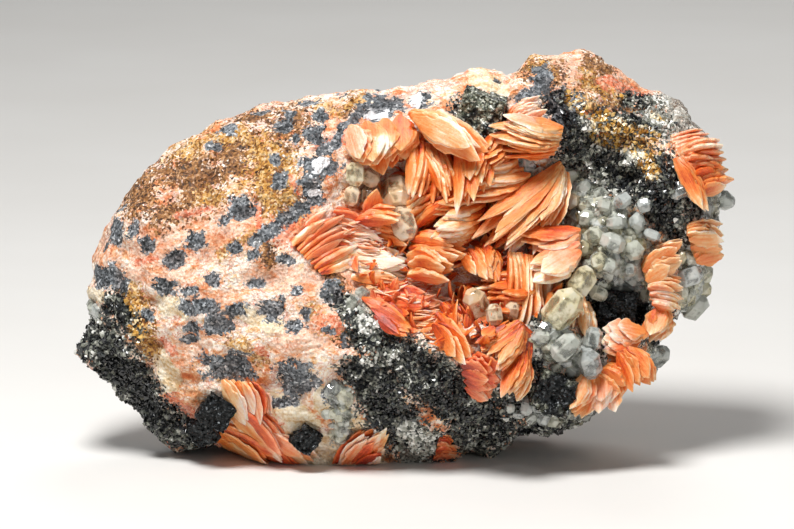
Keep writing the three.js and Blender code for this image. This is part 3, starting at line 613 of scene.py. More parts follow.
# Masses whose lamellae lie along the rock instead of standing on it, in rows of the same kind.
FLUSH_BARITE = {
    "barite_pocket": [
        ((-17, 3.6), (-10.4, 8.8), (-12.6, -0.8), (-4.6, 3.4), 9, -0.6, 0.1, 1.7, 46),
        ((-10.2, 8.6), (-1.2, 5.6), (-9.6, 4.2), (0.2, 1), 7, -0.4, 0.5, 1.9, 42),
        ((-9.4, 2.8), (0.2, 2.8), (-8, -1.2), (1.4, -1.2), 5, -0.2, 0.5, 2.8, 24),
        ((-4.4, -2.2), (4.4, -1.8), (-2.8, -5.8), (5.4, -5.2), 5, -0.2, 0.8, 2.8, 32),
        ((-6, -4), (1.4, -7.6), (-4.2, -7), (0.6, -10.4), 4, -0.4, 0.5, 2.8, 28),
    ],
    "barite_lower_left_vein": [
        ((-27, -16.8), (-22, -25), (-22.6, -17.2), (-20.2, -23.6), 5, -0.5, 0.3, 2.8, 34),
        ((-26.6, -20.6), (-17.6, -29.2), (-24, -20.2), (-16.2, -27.6), 5, -0.5, 0.2, 2.6, 40),
        ((-23.6, -24.4), (-13.6, -30.6), (-21.4, -24.4), (-13, -29), 4, -0.6, 0.1, 2.6, 36),
        ((-28.2, -25.2), (-19.6, -29.8), (-26.2, -23.4), (-17.6, -28.8), 5, -0.5, 0.1, 2.6, 38),
    ],
    "barite_foot_patch": [
        ((-11.2, -30.8), (-6.6, -24.6), (-7.2, -30.6), (-2.8, -23.4), 6, -0.4, 0.3, 2.6, 32),
        ((-9.6, -31), (-4.8, -26.2), (-6.8, -30.8), (-3.2, -26.8), 4, -0.3, 0.2, 2.2, 38),
        ((3.9, -29.4), (8.4, -27.8), (4.8, -26), (7.4, -26.4), 4, -0.4, 0.4, 2.2, 36),
    ],
}
LEAVES_PER_BLADE = 4
BLADE_THICK = 1.9
LEAF_THICK = 0.62
LEAF_STEPS = 17
# Round a lamella's section: share of its half width, and of its half thickness.
LEAF_RING = ((-1, 0), (-0.8, 1), (0, 1), (0.8, 1), (1, 0), (0.8, -1), (0, -1), (-0.8, -1))
ROOT_BREADTH = 0.22 # of its greatest breadth, as the tip's is
TIP_BREADTH = 0.04
TIP_CURVE = 2.2 # the higher, the blunter its outer half
TIP_THINNING = 0.75 # how much of its thickness is lost towards the tip
THINNING_CURVE = 5 # the higher, the nearer to the tip that starts
NOTCH_DEPTH = 0.3 # of its half width
MIDRIB = 1.25 # how much thicker it is along its middle
CUPPING = 0.12
RIM_SHARPNESS = 6 # the higher, the narrower its pale rim
BOW = 0.25 # of a blade's length
BOW_MIDDLE = 0.45 # where along a lamella its bow is level, as a share of its length
BACKWARD_BOW = 0.35 # the share of blades that bow the other way
LEAF_PARTING = 0.075 # how far the lamellae of a blade part towards its tip
LEAF_SKEW = 0.14 # how far a lamella may turn in its own plane
LEAF_SEED_STEP = 17.3
# The least share of the full measure, and how much chance may add to it.
LEAF_THICKNESSES = (0.7, 0.9)
LEAF_LENGTHS = (0.68, 0.36)
LEAF_WIDTHS = (0.8, 0.3)
BLADE_WIDTHS = (0.85, 0.3)
OUT_OF_FACE = np.array([0.0, -1.0, 0.0])
# How much blades of one row differ by chance, in heading, in the lift of their tips and in roll.
HEADING_SWING = math.radians(9)
LIFT_SWING = 2.4
ROLL_SWING = 30 # degrees
LEAF_ROLL_SWING = 14 # degrees
# Painted shade: where the barite is a deeper orange, in the pocket: middle across and up, half width, half
# height.
POCKET = (8, 3, 21, 24)
POCKET_FLOOR = (10, -12, 12, 10)
# The painted shade fades with height over the rock and is gone at this height.
PALEST_HEIGHT = 7 # above this height over the rock the barite is at its palest
# How deep an orange it is: outside the pocket, the greatest in masses that lie along the rock, what the
# pocket's floor and the deep places add, and what the pale places take from it and from the rust. In and
# round the pocket it is painted shade; in the masses along the rock it is left to chance.
OPEN_DEPTH = 0.25
FLUSH_DEEPEST = 0.95
FLOOR_DEPTH = 0.45
DEPTH_GAIN = 0.4
DEPTH_LOSS = 0.9
RUST_LOSS = 0.8
# Where iron has stained the barite red: middle across and up, radius.
RUSTY_PLACES = [
    (-10, 6, 8), (43, 18, 5), (11, -16.6, 5), (1.5, -4.5, 4.5), (31, -10, 4), (-7, -28, 5), (6, -28, 4),
    (23, 2.6, 4.5), (-7.5, 18.5, 3), (18, 23.5, 3.5), (-4, -7, 4), (-22, -21, 4), (-17, -27, 6),
    (29, -20, 3.5), (37, -5, 3),
]
# Where it has stayed nearly white.
PALE_PLACES = [(-5.4, 1.2, 4.6), (-1, 0.6, 3), (-16, 5.6, 1.6), (-9, -0.6, 2.4), (-3.4, 18, 1.7)]
# Where it stays deep orange right up to the tips.
DEEP_PLACES = [(19, 7, 6), (9, 14, 5), (13, 6, 4), (5, 11, 4), (15, -4, 4), (33, -15, 5), (44, 14, 4)]


def leaf_breadth(u):
    """Share of a lamella's width at this share of its length: narrow root, broad middle, sharp tip."""
    if u < 0.5:
        return ROOT_BREADTH + (1 - ROOT_BREADTH) * math.sin(math.pi * u)
    return max(TIP_BREADTH, 1 - (2 * u - 1) ** TIP_CURVE)


def leaf(root, along, normal, length, width, thick, bow, seed, steps=LEAF_STEPS):
    """One barite lamella, a thin closed lens with notched edges; its marks say where each vertex lies."""
    breadth = np.cross(normal, along)
    points = []
    grain = []
    rim = []
    stations = np.linspace(0, 1, steps)
    for k, u in enumerate(stations):
        share = leaf_breadth(u)
        left = 1 - NOTCH_DEPTH * chance(seed + 3 * (k // 2)) ** 2
        right = 1 - NOTCH_DEPTH * chance(seed + 5 * (k // 2) + 1) ** 2
        curl = bow * length * (u - BOW_MIDDLE) ** 2
        body = thick / 2 * (1 - TIP_THINNING * u ** THINNING_CURVE)
        for v, side in LEAF_RING:
            offset = v * share * width / 2 * (left if v < 0 else right)
            cup = CUPPING * bow * width * v * v
            rise = side * body * (MIDRIB if v == 0 else 1) + curl + cup
            points.append(root + along * u * length + breadth * offset + normal * rise)
            grain.append((u * length, offset, seed))
            rim.append(max(abs(v) ** RIM_SHARPNESS, u ** RIM_SHARPNESS))
    count = len(LEAF_RING)
    faces = []
    for k in range(steps - 1):
        for j in range(count):
            a = k * count + j
            b = k * count + (j + 1) % count
            faces.append((a, b, b + count, a + count))
    faces.append(tuple(range(count - 1, -1, -1)))
    faces.append(tuple(range((steps - 1) * count, steps * count)))
    marks = {
        "grain": np.array(grain), "rim": np.array(rim), "tone": np.full(len(points), chance(seed + 11)),
        "along": np.repeat(stations, count),
    }
    return np.array(points), faces, marks


def unit(vector):
    """The direction of a vector."""
    return vector / np.linalg.norm(vector)


def blade_book(root, tip, width, roll, seed):
    """A blade as a book of lamellae that part a little towards the tip."""
    along = unit(tip - root)
    length = np.linalg.norm(tip - root)
    flat = unit(OUT_OF_FACE - along * OUT_OF_FACE.dot(along))
    side = np.cross(along, flat)
    thick = LEAF_THICK * varied(*LEAF_THICKNESSES, seed + 13)
    bow = BOW * (chance(seed + 31) - BACKWARD_BOW)
    leaves = []
    for j in range(LEAVES_PER_BLADE):
        level = j - (LEAVES_PER_BLADE - 1) / 2
        spread = math.radians(roll + swing(LEAF_ROLL_SWING, seed + j))
        normal = flat * math.cos(spread) + side * math.sin(spread)
        part_way = unit(along + normal * level * LEAF_PARTING)
        skew = unit(part_way + np.cross(normal, along) * LEAF_SKEW * (chance(seed + 2 * j + 7) - 0.5))
        square_normal = unit(normal - skew * normal.dot(skew))
        base = root + normal * level * BLADE_THICK / LEAVES_PER_BLADE
        leaf_length = length * varied(*LEAF_LENGTHS, seed + 3 * j + 2)
        leaf_width = width * varied(*LEAF_WIDTHS, seed + 5 * j)
        leaf_seed = seed + LEAF_SEED_STEP * j
        leaves.append(leaf(base, skew, square_normal, leaf_length, leaf_width, thick, bow, leaf_seed))
    return leaves


def blade_row(row, flush):
    """The blades of one row, fanned from its first to its last; flush ones follow the rock's surface."""
    first_root, first_tip, last_root, last_tip = map(np.array, row[:4])
    count, root_lift, tip_lift, width, roll = row[4:]
    reach = [np.hypot(*(first_tip - first_root)), np.hypot(*(last_tip - last_root))]
    first_heading = math.atan2(*(first_tip - first_root)[::-1])
    turn = math.atan2(*(last_tip - last_root)[::-1]) - first_heading
    sweep = math.atan2(math.sin(turn), math.cos(turn))
    leaves = []
    for i in range(count):
        share = i / max(1, count - 1)
        across, up = first_root + share * (last_root - first_root)
        long = (1 - share) * reach[0] + share * reach[1]
        heading = first_heading + share * sweep
        heading += swing(HEADING_SWING, across * 5 + up * 2 + i)
        base = front_height(across, up)
        blade_seed = across * 3 + up * 5 + i
        root = np.array([across, -base - root_lift, up])
        tip = np.array([
            across + long * math.cos(heading),
            -base - tip_lift - swing(LIFT_SWING, blade_seed),
            up + long * math.sin(heading),
        ])
        tilt = roll + swing(ROLL_SWING, across * 2 + up * 9 + i)
        blade_width = width * varied(*BLADE_WIDTHS, blade_seed)
        for points, faces, marks in blade_book(root, tip, blade_width, tilt, across * 7 + up * 13 + i):
            if flush:
                points[:, 1] += base - front_heights(points[:, 0], points[:, 2])
                deep = np.full(len(points), FLUSH_DEEPEST * chance(points[0, 0] + points[0, 2]))
            else:
                # Painted shade: a deeper orange inside the pocket and on its floor, fading with height over
                # the rock.
                pocket_shade = OPEN_DEPTH + (1 - OPEN_DEPTH) * inside(*POCKET, points[:, 0], points[:, 2])
                pocket_shade += FLOOR_DEPTH * inside(*POCKET_FLOOR, points[:, 0], points[:, 2])
                deep = pocket_shade * (1 - np.clip((-points[:, 1] - base) / PALEST_HEIGHT, 0, 1))
            pale = nearness(PALE_PLACES, points)
            marks["deep"] = deep - DEPTH_LOSS * pale + DEPTH_GAIN * nearness(DEEP_PLACES, points)
            marks["rust"] = nearness(RUSTY_PLACES, points) * (1 - RUST_LOSS * pale)
            leaves.append((points, faces, marks))
    return leaves


# ---------------------------------------------------------------- cerussite and galena
# Stout crystals: middle across and up, width, length, lift of the middle over the rock, and tint:
# 0 grey-white, 1 straw yellow, 2 tan.
CERUSSITE = {
    "cerussite_pocket_tan": [
        (-1.4, 10.9, 4.4, 5.6, 2.5, 2), (-0.4, 6.2, 4, 5.4, 2.6, 1.5), (-3.8, 8.2, 2.2, 3, 2, 2),
    ],
    "cerussite_pocket_left": [
        (-7.4, 13.6, 3, 3.6, 1, 1.1), (-5.4, 13, 2.4, 3, 1.5, 1.4), (-8, 10.4, 2.6, 3, 1, 1.6),
        (-5.8, 10.4, 2, 2.6, 1, 1.6),
    ],
    "cerussite_pocket_roof": [
        (13.8, 15, 2.2, 2.8, 1.5, 1.6), (16.2, 12.8, 3, 4.2, 2, 1.8), (17.6, 15, 3, 3.4, 1, 0.3),
        (19.6, 13.6, 2, 2.6, 1, 0.5),
    ],
    "cerussite_pocket_pair": [
        (10.4, -5.6, 3.8, 5, 3.4, 1.9), (13, -7.2, 2.6, 3.2, 3, 1.4), (15.6, -6.6, 2.4, 3, 3, 1.7),
    ],
    "cerussite_yellow_block": [
        (23, -6.6, 4.8, 7.2, 2.5, 1), (25.8, -2.4, 3.8, 5, 2, 1.1), (28.4, -4, 2.4, 3, 2, 0.6),
    ],
    "cerussite_grey_block": [
        (23.4, -12, 3.8, 4.6, 2, 0.3), (27, -14.4, 3.8, 4.6, 2, 0), (27.5, -10.8, 3, 3.6, 1.5, 0.1),
    ],
    "cerussite_right_edge": [
        (46.8, 10, 3, 5.4, -3, 0.1), (44, 8, 3, 3.6, -1, 0), (42, -1.4, 3.4, 4, 1, 0),
        (44.6, -1.2, 3, 3.4, 0, 0.7), (44.4, -3.6, 2.6, 2.8, 0, 0.9), (43.2, -6, 4, 4.4, 0, 0.3),
        (40.6, 11, 2, 3.4, 0.6, 0),
    ],
    "cerussite_lower_corner": [
        (38, -13.6, 3, 3.6, -2, 0.1), (36.6, -16, 2.4, 3.2, -2, 0), (36.8, -13.2, 2.4, 3, -1, 0),
    ],
    "cerussite_foot": [
        (22, -23, 2.2, 2.6, 0.6, 0.6), (20.4, -22.4, 2.2, 2.6, 0.7, 0), (17.8, -20.8, 2.2, 2.6, 0.7, 0),
        (18.6, -22.6, 1.7, 1.9, 0.9, 0.3), (19.4, -21, 1.6, 1.8, 1, 0.1), (21.6, -21.4, 1.7, 1.9, 1.1, 0.2),
        (23.6, -22, 1.6, 1.8, 0.9, 0.4), (16.6, -22, 1.5, 1.7, 0.9, 0), (15.4, -21, 1.4, 1.6, 0.9, 0.2),
    ],
    "cerussite_druse": [
        (24.6, 9.6, 2.6, 2.2, 1, 1.6), (26.4, 11.6, 2.6, 1.8, 1, 0.3), (26.8, 7, 2.8, 2.4, 1, 0.5),
        (32, 9.6, 3, 2.2, 2, 0), (28, 4.4, 2.8, 2.4, 1.8, 0.6), (30.6, 3.4, 3.8, 2.8, 1.8, 0.3),
        (31, 6.4, 2.8, 2, 1.6, 0.2), (33.7, 2.3, 3.2, 2.2, 1.6, 0.5), (36.4, 4.6, 1.6, 2.6, 1.4, 0),
        (34.2, 6.6, 2.6, 2, 1.4, 0.1), (28.6, 0.6, 2.8, 2.4, 1.5, 0.8), (35.2, 9, 2.4, 2, 1.2, 0),
        (30, 0, 2.6, 2.2, 1.6, 0.4), (33, -0.6, 2.4, 2, 1.5, 0.2), (29.4, 9, 2.4, 2, 1.4, 0.4),
        (26.2, 2.6, 2.4, 2, 1.5, 1),
    ],
}
# Along a crystal: share of its half length, and of its full radius there.
CRYSTAL_LEVELS = ((-1, 0.5), (-0.55, 1), (0.55, 1), (1, 0.5))
CRYSTAL_RADII = (0.92, 0.16) # its least share of the full radius, and how much chance may add to it
CRYSTAL_BEVEL = 0.02 # of its width
MILKY_EDGE = 0.1 # the same
BROAD_FACE = 9 # a face has a milky edge where its area is over so many squares of the edge
FLAT_ANGLE = 0.02 # radians between faces that count as one
# Galena cubes with cut corners: middle across and up, width, lift, turn in degrees, and how far weathered.
GALENA = {
    "galena_crest_block": [(10.9, 22.6, 6.2, -0.6, 20, 1)],
    "galena_cavity_cube": [(31.2, -6.4, 5.6, 1.4, 8, 0)],
    "galena_lower_cube": [(21.8, -18.6, 5.8, 0.4, 20, 0.75)],
    "galena_left_block": [(-28, -21.2, 4.8, 0.2, 30, 0), (-30.2, -24, 4, -0.2, 65, 0.3)],
    "galena_foot_block": [(-14.8, -25.4, 3.6, 0.8, 40, 0.2)],
}
CORNER_CUT = 0.62 # where the cut starts, as a share of the half width
# Its skin: height and width of the lumps, of the grains on them, and of the pits, which go flat at a level.
LUMP_HEIGHT, LUMP_WIDTH = 0.4, 3
ORE_GRAIN_HEIGHT, ORE_GRAIN_WIDTH = 0.28, 1.1
PIT_DEPTH, PIT_WIDTH, PIT_FLAT = 0.4, 1.6, 0.5
CLEAR_OF_FLOOR = 0.0002


def turned(points, seed):
    """Points turned about all three axes by amounts that depend only on the seed."""
    about_y = Matrix.Rotation(math.pi * chance(seed), 3, "Y")
    about_x = Matrix.Rotation(math.pi * (chance(seed + 1) - 0.5), 3, "X")
    about_z = Matrix.Rotation(math.pi * (chance(seed + 2) - 0.5), 3, "Z")
    turn = about_z @ about_x @ about_y
    return [turn @ Vector(point) for point in points]


def hull(points, bevel=0, milky_edge=0):
    """The closed hull of some points, with broken edges and a marked rim round its milky-edged faces."""
    shape = bmesh.new()
    for point in points:
        shape.verts.new(point)
    bmesh.ops.convex_hull(shape, input=shape.verts)
    loose = [v for v in shape.verts if not v.link_faces]
    bmesh.ops.delete(shape, geom=loose, context="VERTS")
    bmesh.ops.dissolve_limit(shape, angle_limit=FLAT_ANGLE, verts=shape.verts, edges=shape.edges)
    if bevel:
        bmesh.ops.bevel(shape, geom=shape.edges[:], offset=bevel, segments=1, affect="EDGES",
                        clamp_overlap=True)
    bmesh.ops.recalc_face_normals(shape, faces=shape.faces)
    edge_points = len(shape.verts)
    if milky_edge:
        broad = [face for face in shape.faces if face.calc_area() > BROAD_FACE * milky_edge ** 2]
        bmesh.ops.inset_individual(shape, faces=broad, thickness=milky_edge, use_even_offset=True)
    shape.verts.index_update()
    found = [v.co.copy() for v in shape.verts]
    faces = [[v.index for v in face.verts] for face in shape.faces]
    shape.free()
    return np.array(found), faces, {"rim": (np.arange(len(found)) < edge_points).astype(float)}


def stout_crystal(across, up, width, length, lift, tint):
    """A six-sided cerussite crystal with bevelled, cut-off ends and slightly uneven faces."""
    seed = across * 7 + up * 3
    points = []
    for level, share in CRYSTAL_LEVELS:
        for i in range(6):
            angle = i * math.pi / 3
            reach = width / 2 * share * varied(*CRYSTAL_RADII, seed + i)
            points.append((reach * math.cos(angle), level * (length / 2), reach * math.sin(angle)))
    found, faces, marks = hull(turned(points, seed), CRYSTAL_BEVEL * width, MILKY_EDGE * width)
    middle = np.array([across, -front_height(across, up) - lift, up])
    return found + middle, faces, {"tint": np.full(len(found), tint), **marks}


def ore_block(across, up, width, lift, turn, weathered):
    """A galena cube with cut corners and a granular, pitted skin."""
    half = width / 2
    cut = half * CORNER_CUT
    shape = bmesh.new()
    for x in (-1, 1):
        for y in (-1, 1):
            for z in (-1, 1):
                shape.verts.new((x * cut, y * half, z * half))
                shape.verts.new((x * half, y * cut, z * half))
                shape.verts.new((x * half, y * half, z * cut))
    bmesh.ops.convex_hull(shape, input=shape.verts)
    for _ in range(5):
        bmesh.ops.subdivide_edges(shape, edges=shape.edges[:], cuts=1, use_grid_fill=True)
        bmesh.ops.triangulate(shape, faces=shape.faces[:])
    bmesh.ops.recalc_face_normals(shape, faces=shape.faces)
    faces = np.array([[v.index for v in face.verts] for face in shape.faces])
    points = np.array([v.co[:] for v in shape.verts])
    shape.free()
    about_y = Matrix.Rotation(math.radians(turn), 3, "Y")
    about_x = Matrix.Rotation(math.radians(turn / 2), 3, "X")
    points = points @ np.array(about_x @ about_y).T
    push = LUMP_HEIGHT * rough(points + up, LUMP_WIDTH, 2)
    push += ORE_GRAIN_HEIGHT * rough(points + across, ORE_GRAIN_WIDTH, 3)
    push -= PIT_DEPTH * chips(points + up, PIT_WIDTH, PIT_FLAT)
    points = points + vertex_normals(points, faces) * push[:, None]
    points = points + np.array([across, -front_height(across, up) - lift, up])
    return points, faces, {"weathered": np.full(len(points), float(weathered))}


def world_parts(parts):
    """The parts in world metres, with nothing left below the surface that the block rests on."""
    moved = []
    for points, faces, marks in parts:
        world = to_world(points)
        world[:, 2] = np.maximum(world[:, 2], CLEAR_OF_FLOOR)
        moved.append((world, faces, marks))
    return moved


# ---------------------------------------------------------------- materials
def linear(hex_colour):
    """An sRGB hex colour as linear RGBA."""
    shares = [int(hex_colour[i:i + 2], 16) / 255 for i in (1, 3, 5)]
    return tuple(s / 12.92 if s <= 0.04045 else ((s + 0.055) / 1.055) ** 2.4 for s in shares) + (1.0,)


def per_mm(size):
    """The scale that gives a texture features of this size in millimetres."""
    return 1 / (size * MM)


# Inputs go by name, or by place where names repeat: a Mix node has its share at 0, its two numbers at 2
# and 3, and its two colours at 6 and 7.
def add(tree, kind, inputs=None, **settings):
    """Adds one node with its settings and what feeds its inputs: values, outputs or nodes."""
    node = tree.nodes.new(kind)
    for key, value in settings.items():
        setattr(node, key, value)
    for key, value in (inputs or {}).items():
        if isinstance(value, bpy.types.Node):
            value = next(output for output in value.outputs if output.enabled)
        if isinstance(value, bpy.types.NodeSocket):
            tree.links.new(value, node.inputs[key])
        else:
            node.inputs[key].default_value = value
    return node


def weighed_sum(tree, offset, terms):
    """An offset plus several values, each times its weight."""
    total = offset
    for value, weight in terms:
        total = add(tree, "ShaderNodeMath", {0: value, 1: weight, 2: total}, operation="MULTIPLY_ADD")
    return total


def new_material(name):
    """A material with no nodes yet, and its node tree."""
    material = bpy.data.materials.new(name)
    material.use_nodes = True
    material.node_tree.nodes.clear()
    return material, material.node_tree


def shaded(tree, value, stops):
    """The colour for a value, from (position, sRGB hex) pairs."""
    node = add(tree, "ShaderNodeValToRGB", {"Fac": value})
    elements = node.color_ramp.elements
    while len(elements) < len(stops):
        elements.new(0.5)
    for element, (position, colour) in zip(elements, stops):
        element.position = position
        element.color = linear(colour)
    return node.outputs["Color"]


def facets(tree, grains, turn):
    """A normal that tilts each grain its own way, by as much as the turn, as broken crystal faces do."""
    way = add(tree, "ShaderNodeVectorMath", {0: grains.outputs["Color"], 1: (0.5, 0.5, 0.5)},
              operation="SUBTRACT")
    way = add(tree, "ShaderNodeVectorMath", {0: way, "Scale": turn}, operation="SCALE")
    upright = add(tree, "ShaderNodeNewGeometry").outputs["Normal"]
    tilted = add(tree, "ShaderNodeVectorMath", {0: way, 1: upright}, operation="ADD")
    return add(tree, "ShaderNodeVectorMath", {0: tilted}, operation="NORMALIZE")


def threads(tree, place, size, half_width, most):
    """Thin wandering lines where a cloudy noise crosses its middle: 0 off them, up to the most on them."""
    cloudy = add(tree, "ShaderNodeTexNoise", {
        "Vector": place, "Scale": per_mm(size), "Detail": 6, "Roughness": 0.66, "Distortion": 1.8,
    })
    off = add(tree, "ShaderNodeMath", {0: cloudy, 1: 0.5}, operation="SUBTRACT")
    off = add(tree, "ShaderNodeMath", {0: off}, operation="ABSOLUTE")
    return add(tree, "ShaderNodeMapRange", {
        "Value": off, "From Min": half_width, "From Max": 0.1 * half_width, "To Max": most,
    })


# Each zone of the rock: how much of its border is decided grain by grain, how far the border wanders, its
# share at full strength, how granular it is (0 massive, 1 sugary), and the colours of its streaks or grains.
ROCK_ZONES = (
    ("salmon", 0.3, 2, 0.6, 0.35, (
        (0.1, "#B04A22"), (0.3, "#D67A48"), (0.46, "#E6A27A"), (0.62, "#F1C8AA"), (0.8, "#FDEFE4"),
        (1, "#EEC09C"))),
    ("pale", 0.2, 1.6, 0.85, 0.3, (
        (0.1, "#B98A50"), (0.34, "#DFC08C"), (0.52, "#EEDDBC"), (0.7, "#FAF3E2"), (1, "#E9D6B0"))),
    ("ochre", 1, 2.4, 0.95, 1, (
        (0, "#1E0F05"), (0.26, "#4A2A0E"), (0.45, "#7C4C1C"), (0.62, "#A06A2E"), (0.77, "#C08A54"),
        (0.91, "#E4C2A2"), (1, "#FFF4EA"))),
    ("amber", 1.1, 2, 0.8, 1, (
        (0, "#4A260A"), (0.25, "#985A18"), (0.48, "#D49838"), (0.68, "#E8BE7A"), (0.86, "#F4DEBA"),
        (1, "#FFF8EC"))),
    ("red", 0.7, 2, 0.8, 0.6, (
        (0, "#9C2A10"), (0.25, "#D04E26"), (0.5, "#E4805A"), (0.75, "#F4BEA4"), (1, "#FFF0E8"))),
    ("druse", 0.6, 1.5, 1, 1, (
        (0, "#08090B"), (0.3, "#17191B"), (0.48, "#3C3E3D"), (0.64, "#6E6F62"), (0.82, "#A9A89C"),
        (1, "#F2F1EA"))),
    ("frost", 0.9, 1.8, 0.85, 1, (
        (0, "#232527"), (0.25, "#676962"), (0.5, "#A2A298"), (0.75, "#D6D6CC"), (1, "#FCFCF6"))),
)
# Massive ground: orange through peach and white to cream.
GROUND_COLOURS = (
    (0.16, "#C8662C"), (0.3, "#E09258"), (0.42, "#F0BE94"), (0.54, "#F9E2CE"), (0.66, "#FDF5EA"),
    (0.78, "#F6D8AE"), (0.92, "#E2A05E"),
)
# Galena's greys; the palest, up to white, are painted glints.
LEAD_GREYS = (
    (0, "#101214"), (0.22, "#2E3235"), (0.42, "#5A5E62"), (0.64, "#818589"), (0.84, "#B0B3B6"),
    (1, "#FFFFFF"),
)
IRON_RED = linear("#C65A26")
# Painted highlight: the near-white of galena cleavage faces that catch the lamp.
PAINTED_GLINT_WHITE = linear("#F4F6F8")
# Painted shade: the brown that darkens the rock's pits.
PIT_SHADE_BROWN = linear("#8E5C3C")
ZONE_EDGE = 0.12 # how soft a zone's border is
STREAK_SLANT = math.radians(-22)
ORE_BORDER = (2.25, 2.33) # from where to where the depth, with its noises, counts as galena
GLINT_BORDER = (0.5, 0.56)
GROUND_SUGAR, ORE_SUGAR = 0.3, 0.7 # how granular the massive ground and the galena are


def vein_rock():
    """Silicified vein rock, broken: dull, granular, cream to salmon, with lead-grey galena flush in it."""
    material, tree = new_material("vein rock, silicified, broken")
    place = add(tree, "ShaderNodeTexCoord").outputs["Object"]
    zone = {key: add(tree, "ShaderNodeAttribute", attribute_name=key).outputs["Fac"]
            for key in ("ore", "painted_glint", "pit_shade", *(row[0] for row in ROCK_ZONES))}
    slanted = add(tree, "ShaderNodeMapping", {
        "Vector": place, "Rotation": (0, STREAK_SLANT, 0), "Scale": (0.45, 1, 1.1),
    })
    cloud, edge, crumb, streak, brush = (
        add(tree, "ShaderNodeTexNoise", {
            "Vector": where, "Scale": per_mm(size), "Detail": detail, "Roughness": roughness,
            "Distortion": swirl,
        })
        for where, size, detail, roughness, swirl in (
            (place, 6, 6, 0.62, 0.9), (place, 2.4, 6, 0.66, 0.4), (place, 0.8, 4, 0.7, 0),
            (slanted, 2.6, 6, 0.66, 1.2), (slanted, 0.8, 4, 0.7, 0.6),
        )
    )
    grain, fine = (
        add(tree, "ShaderNodeTexVoronoi", {"Vector": place, "Scale": per_mm(size)}) for size in (0.55, 0.32)
    )
    pick = add(tree, "ShaderNodeSeparateColor", {0: fine.outputs["Color"]}).outputs
    # Each grain's own value, drawn together in small and large patches.
    value = weighed_sum(tree, -0.96, ((crumb, 0.8), (pick[0], 0.62), (edge, 0.9), (cloud, 0.6)))
    # The massive ground: brushed streaks, and only a trace of the grains.
    soft = weighed_sum(tree, -0.55, ((streak, 1.3), (brush, 0.7), (value, 0.1)))
    colour = shaded(tree, weighed_sum(tree, -0.66, ((cloud, 1.4), (soft, 1))), GROUND_COLOURS)
    # Thin iron-red threads, a wide net and a close one.
    for size, half_width, most in ((8, 0.022, 0.75), (3.2, 0.03, 0.5)):
        net = threads(tree, place, size, half_width, most)
        colour = add(tree, "ShaderNodeMix", {0: net, 6: colour, 7: IRON_RED}, data_type="RGBA")
    sugary = GROUND_SUGAR
    for key, by_grain, wander, full, granular, stops in ROCK_ZONES:
        grains = add(tree, "ShaderNodeMix", {0: granular, 2: soft, 3: value}, data_type="FLOAT")
        depth = weighed_sum(tree, zone[key], ((edge, wander), (pick[1], by_grain)))
        border = (wander + by_grain) / 2 + ZONE_EDGE
        covered = add(tree, "ShaderNodeMapRange", {
            "Value": depth, "From Min": border, "From Max": border + ZONE_EDGE, "To Max": full,
        })
        colour = add(tree, "ShaderNodeMix", {0: covered, 6: colour, 7: shaded(tree, grains, stops)},
                     data_type="RGBA")
        sugary = add(tree, "ShaderNodeMix", {0: covered, 2: sugary, 3: granular}, data_type="FLOAT")
    # Galena: a mosaic of grains, each with its own grey, in ragged spots; its palest grains are painted
    # glints.
    depth = weighed_sum(tree, zone["ore"], ((edge, 3.2), (crumb, 0.9), (pick[1], 0.3)))
    in_ore = add(tree, "ShaderNodeMapRange", {
        "Value": depth, "From Min": ORE_BORDER[0], "From Max": ORE_BORDER[1],
    })
    colour = add(tree, "ShaderNodeMix", {0: in_ore, 6: colour, 7: shaded(tree, value, LEAD_GREYS)},
                 data_type="RGBA")
    sugary = add(tree, "ShaderNodeMix", {0: in_ore, 2: sugary, 3: ORE_SUGAR}, data_type="FLOAT")
    # Painted highlights: galena cleavage faces, flat-sided, painted near-white as if they caught the lamp.
    cleaved = add(tree, "ShaderNodeTexVoronoi", {"Vector": place, "Scale": per_mm(1.1)}, distance="CHEBYCHEV")
    step = add(tree, "ShaderNodeSeparateColor", {0: cleaved.outputs["Color"]})
    in_painted_glint = add(tree, "ShaderNodeMapRange", {
        "Value": weighed_sum(tree, zone["painted_glint"], ((step, 0.7),)), "From Min": GLINT_BORDER[0],
        "From Max": GLINT_BORDER[1], "To Max": in_ore,
    })
    colour = add(tree, "ShaderNodeMix", {0: in_painted_glint, 6: colour, 7: PAINTED_GLINT_WHITE}, data_type="RGBA")
    # Painted shade: pits are darkened brown, ridges are left as they are.
    pit_shading = add(tree, "ShaderNodeMapRange", {
        "Value": zone["pit_shade"], "From Min": 0.15, "From Max": 0.9, "To Max": 0.55,
    })
    colour = add(tree, "ShaderNodeMix", {0: pit_shading, 6: colour, 7: PIT_SHADE_BROWN}, data_type="RGBA",
                 blend_type="MULTIPLY")
    metal = add(tree, "ShaderNodeMath", {0: in_ore, 1: 0.3}, operation="MULTIPLY")
    dull = add(tree, "ShaderNodeMapRange", {
        "Value": pick[2], "From Min": 0.7, "From Max": 1, "To Min": 0.72, "To Max": 0.3,
    })
    turn = add(tree, "ShaderNodeMath", {0: sugary, 1: 1.3}, operation="MULTIPLY")
    bump = add(tree, "ShaderNodeBump", {
        "Height": weighed_sum(tree, grain.outputs["Distance"], ((crumb, 1.2),)), "Strength": 0.8,
        "Distance": 0.3 * MM, "Normal": facets(tree, fine, turn),
    })
    shader = add(tree, "ShaderNodeBsdfPrincipled", {
        "Base Color": colour, "Metallic": metal, "Roughness": dull, "Normal": bump, "IOR": 1.54,
    })
    add(tree, "ShaderNodeOutputMaterial", {"Surface": shader})
    return material


STAINED_ORANGE = (
    (0, "#8E2804"), (0.14, "#D04A0E"), (0.34, "#EC7A2C"), (0.54, "#F29C58"), (0.74, "#F8C492"),
    (0.94, "#FFEAD4"),
)
STAINED_RED = ((0, "#AE2E0A"), (0.18, "#DA4E22"), (0.38, "#EE7E50"), (0.6, "#F8B392"), (0.85, "#FFE2D2"))


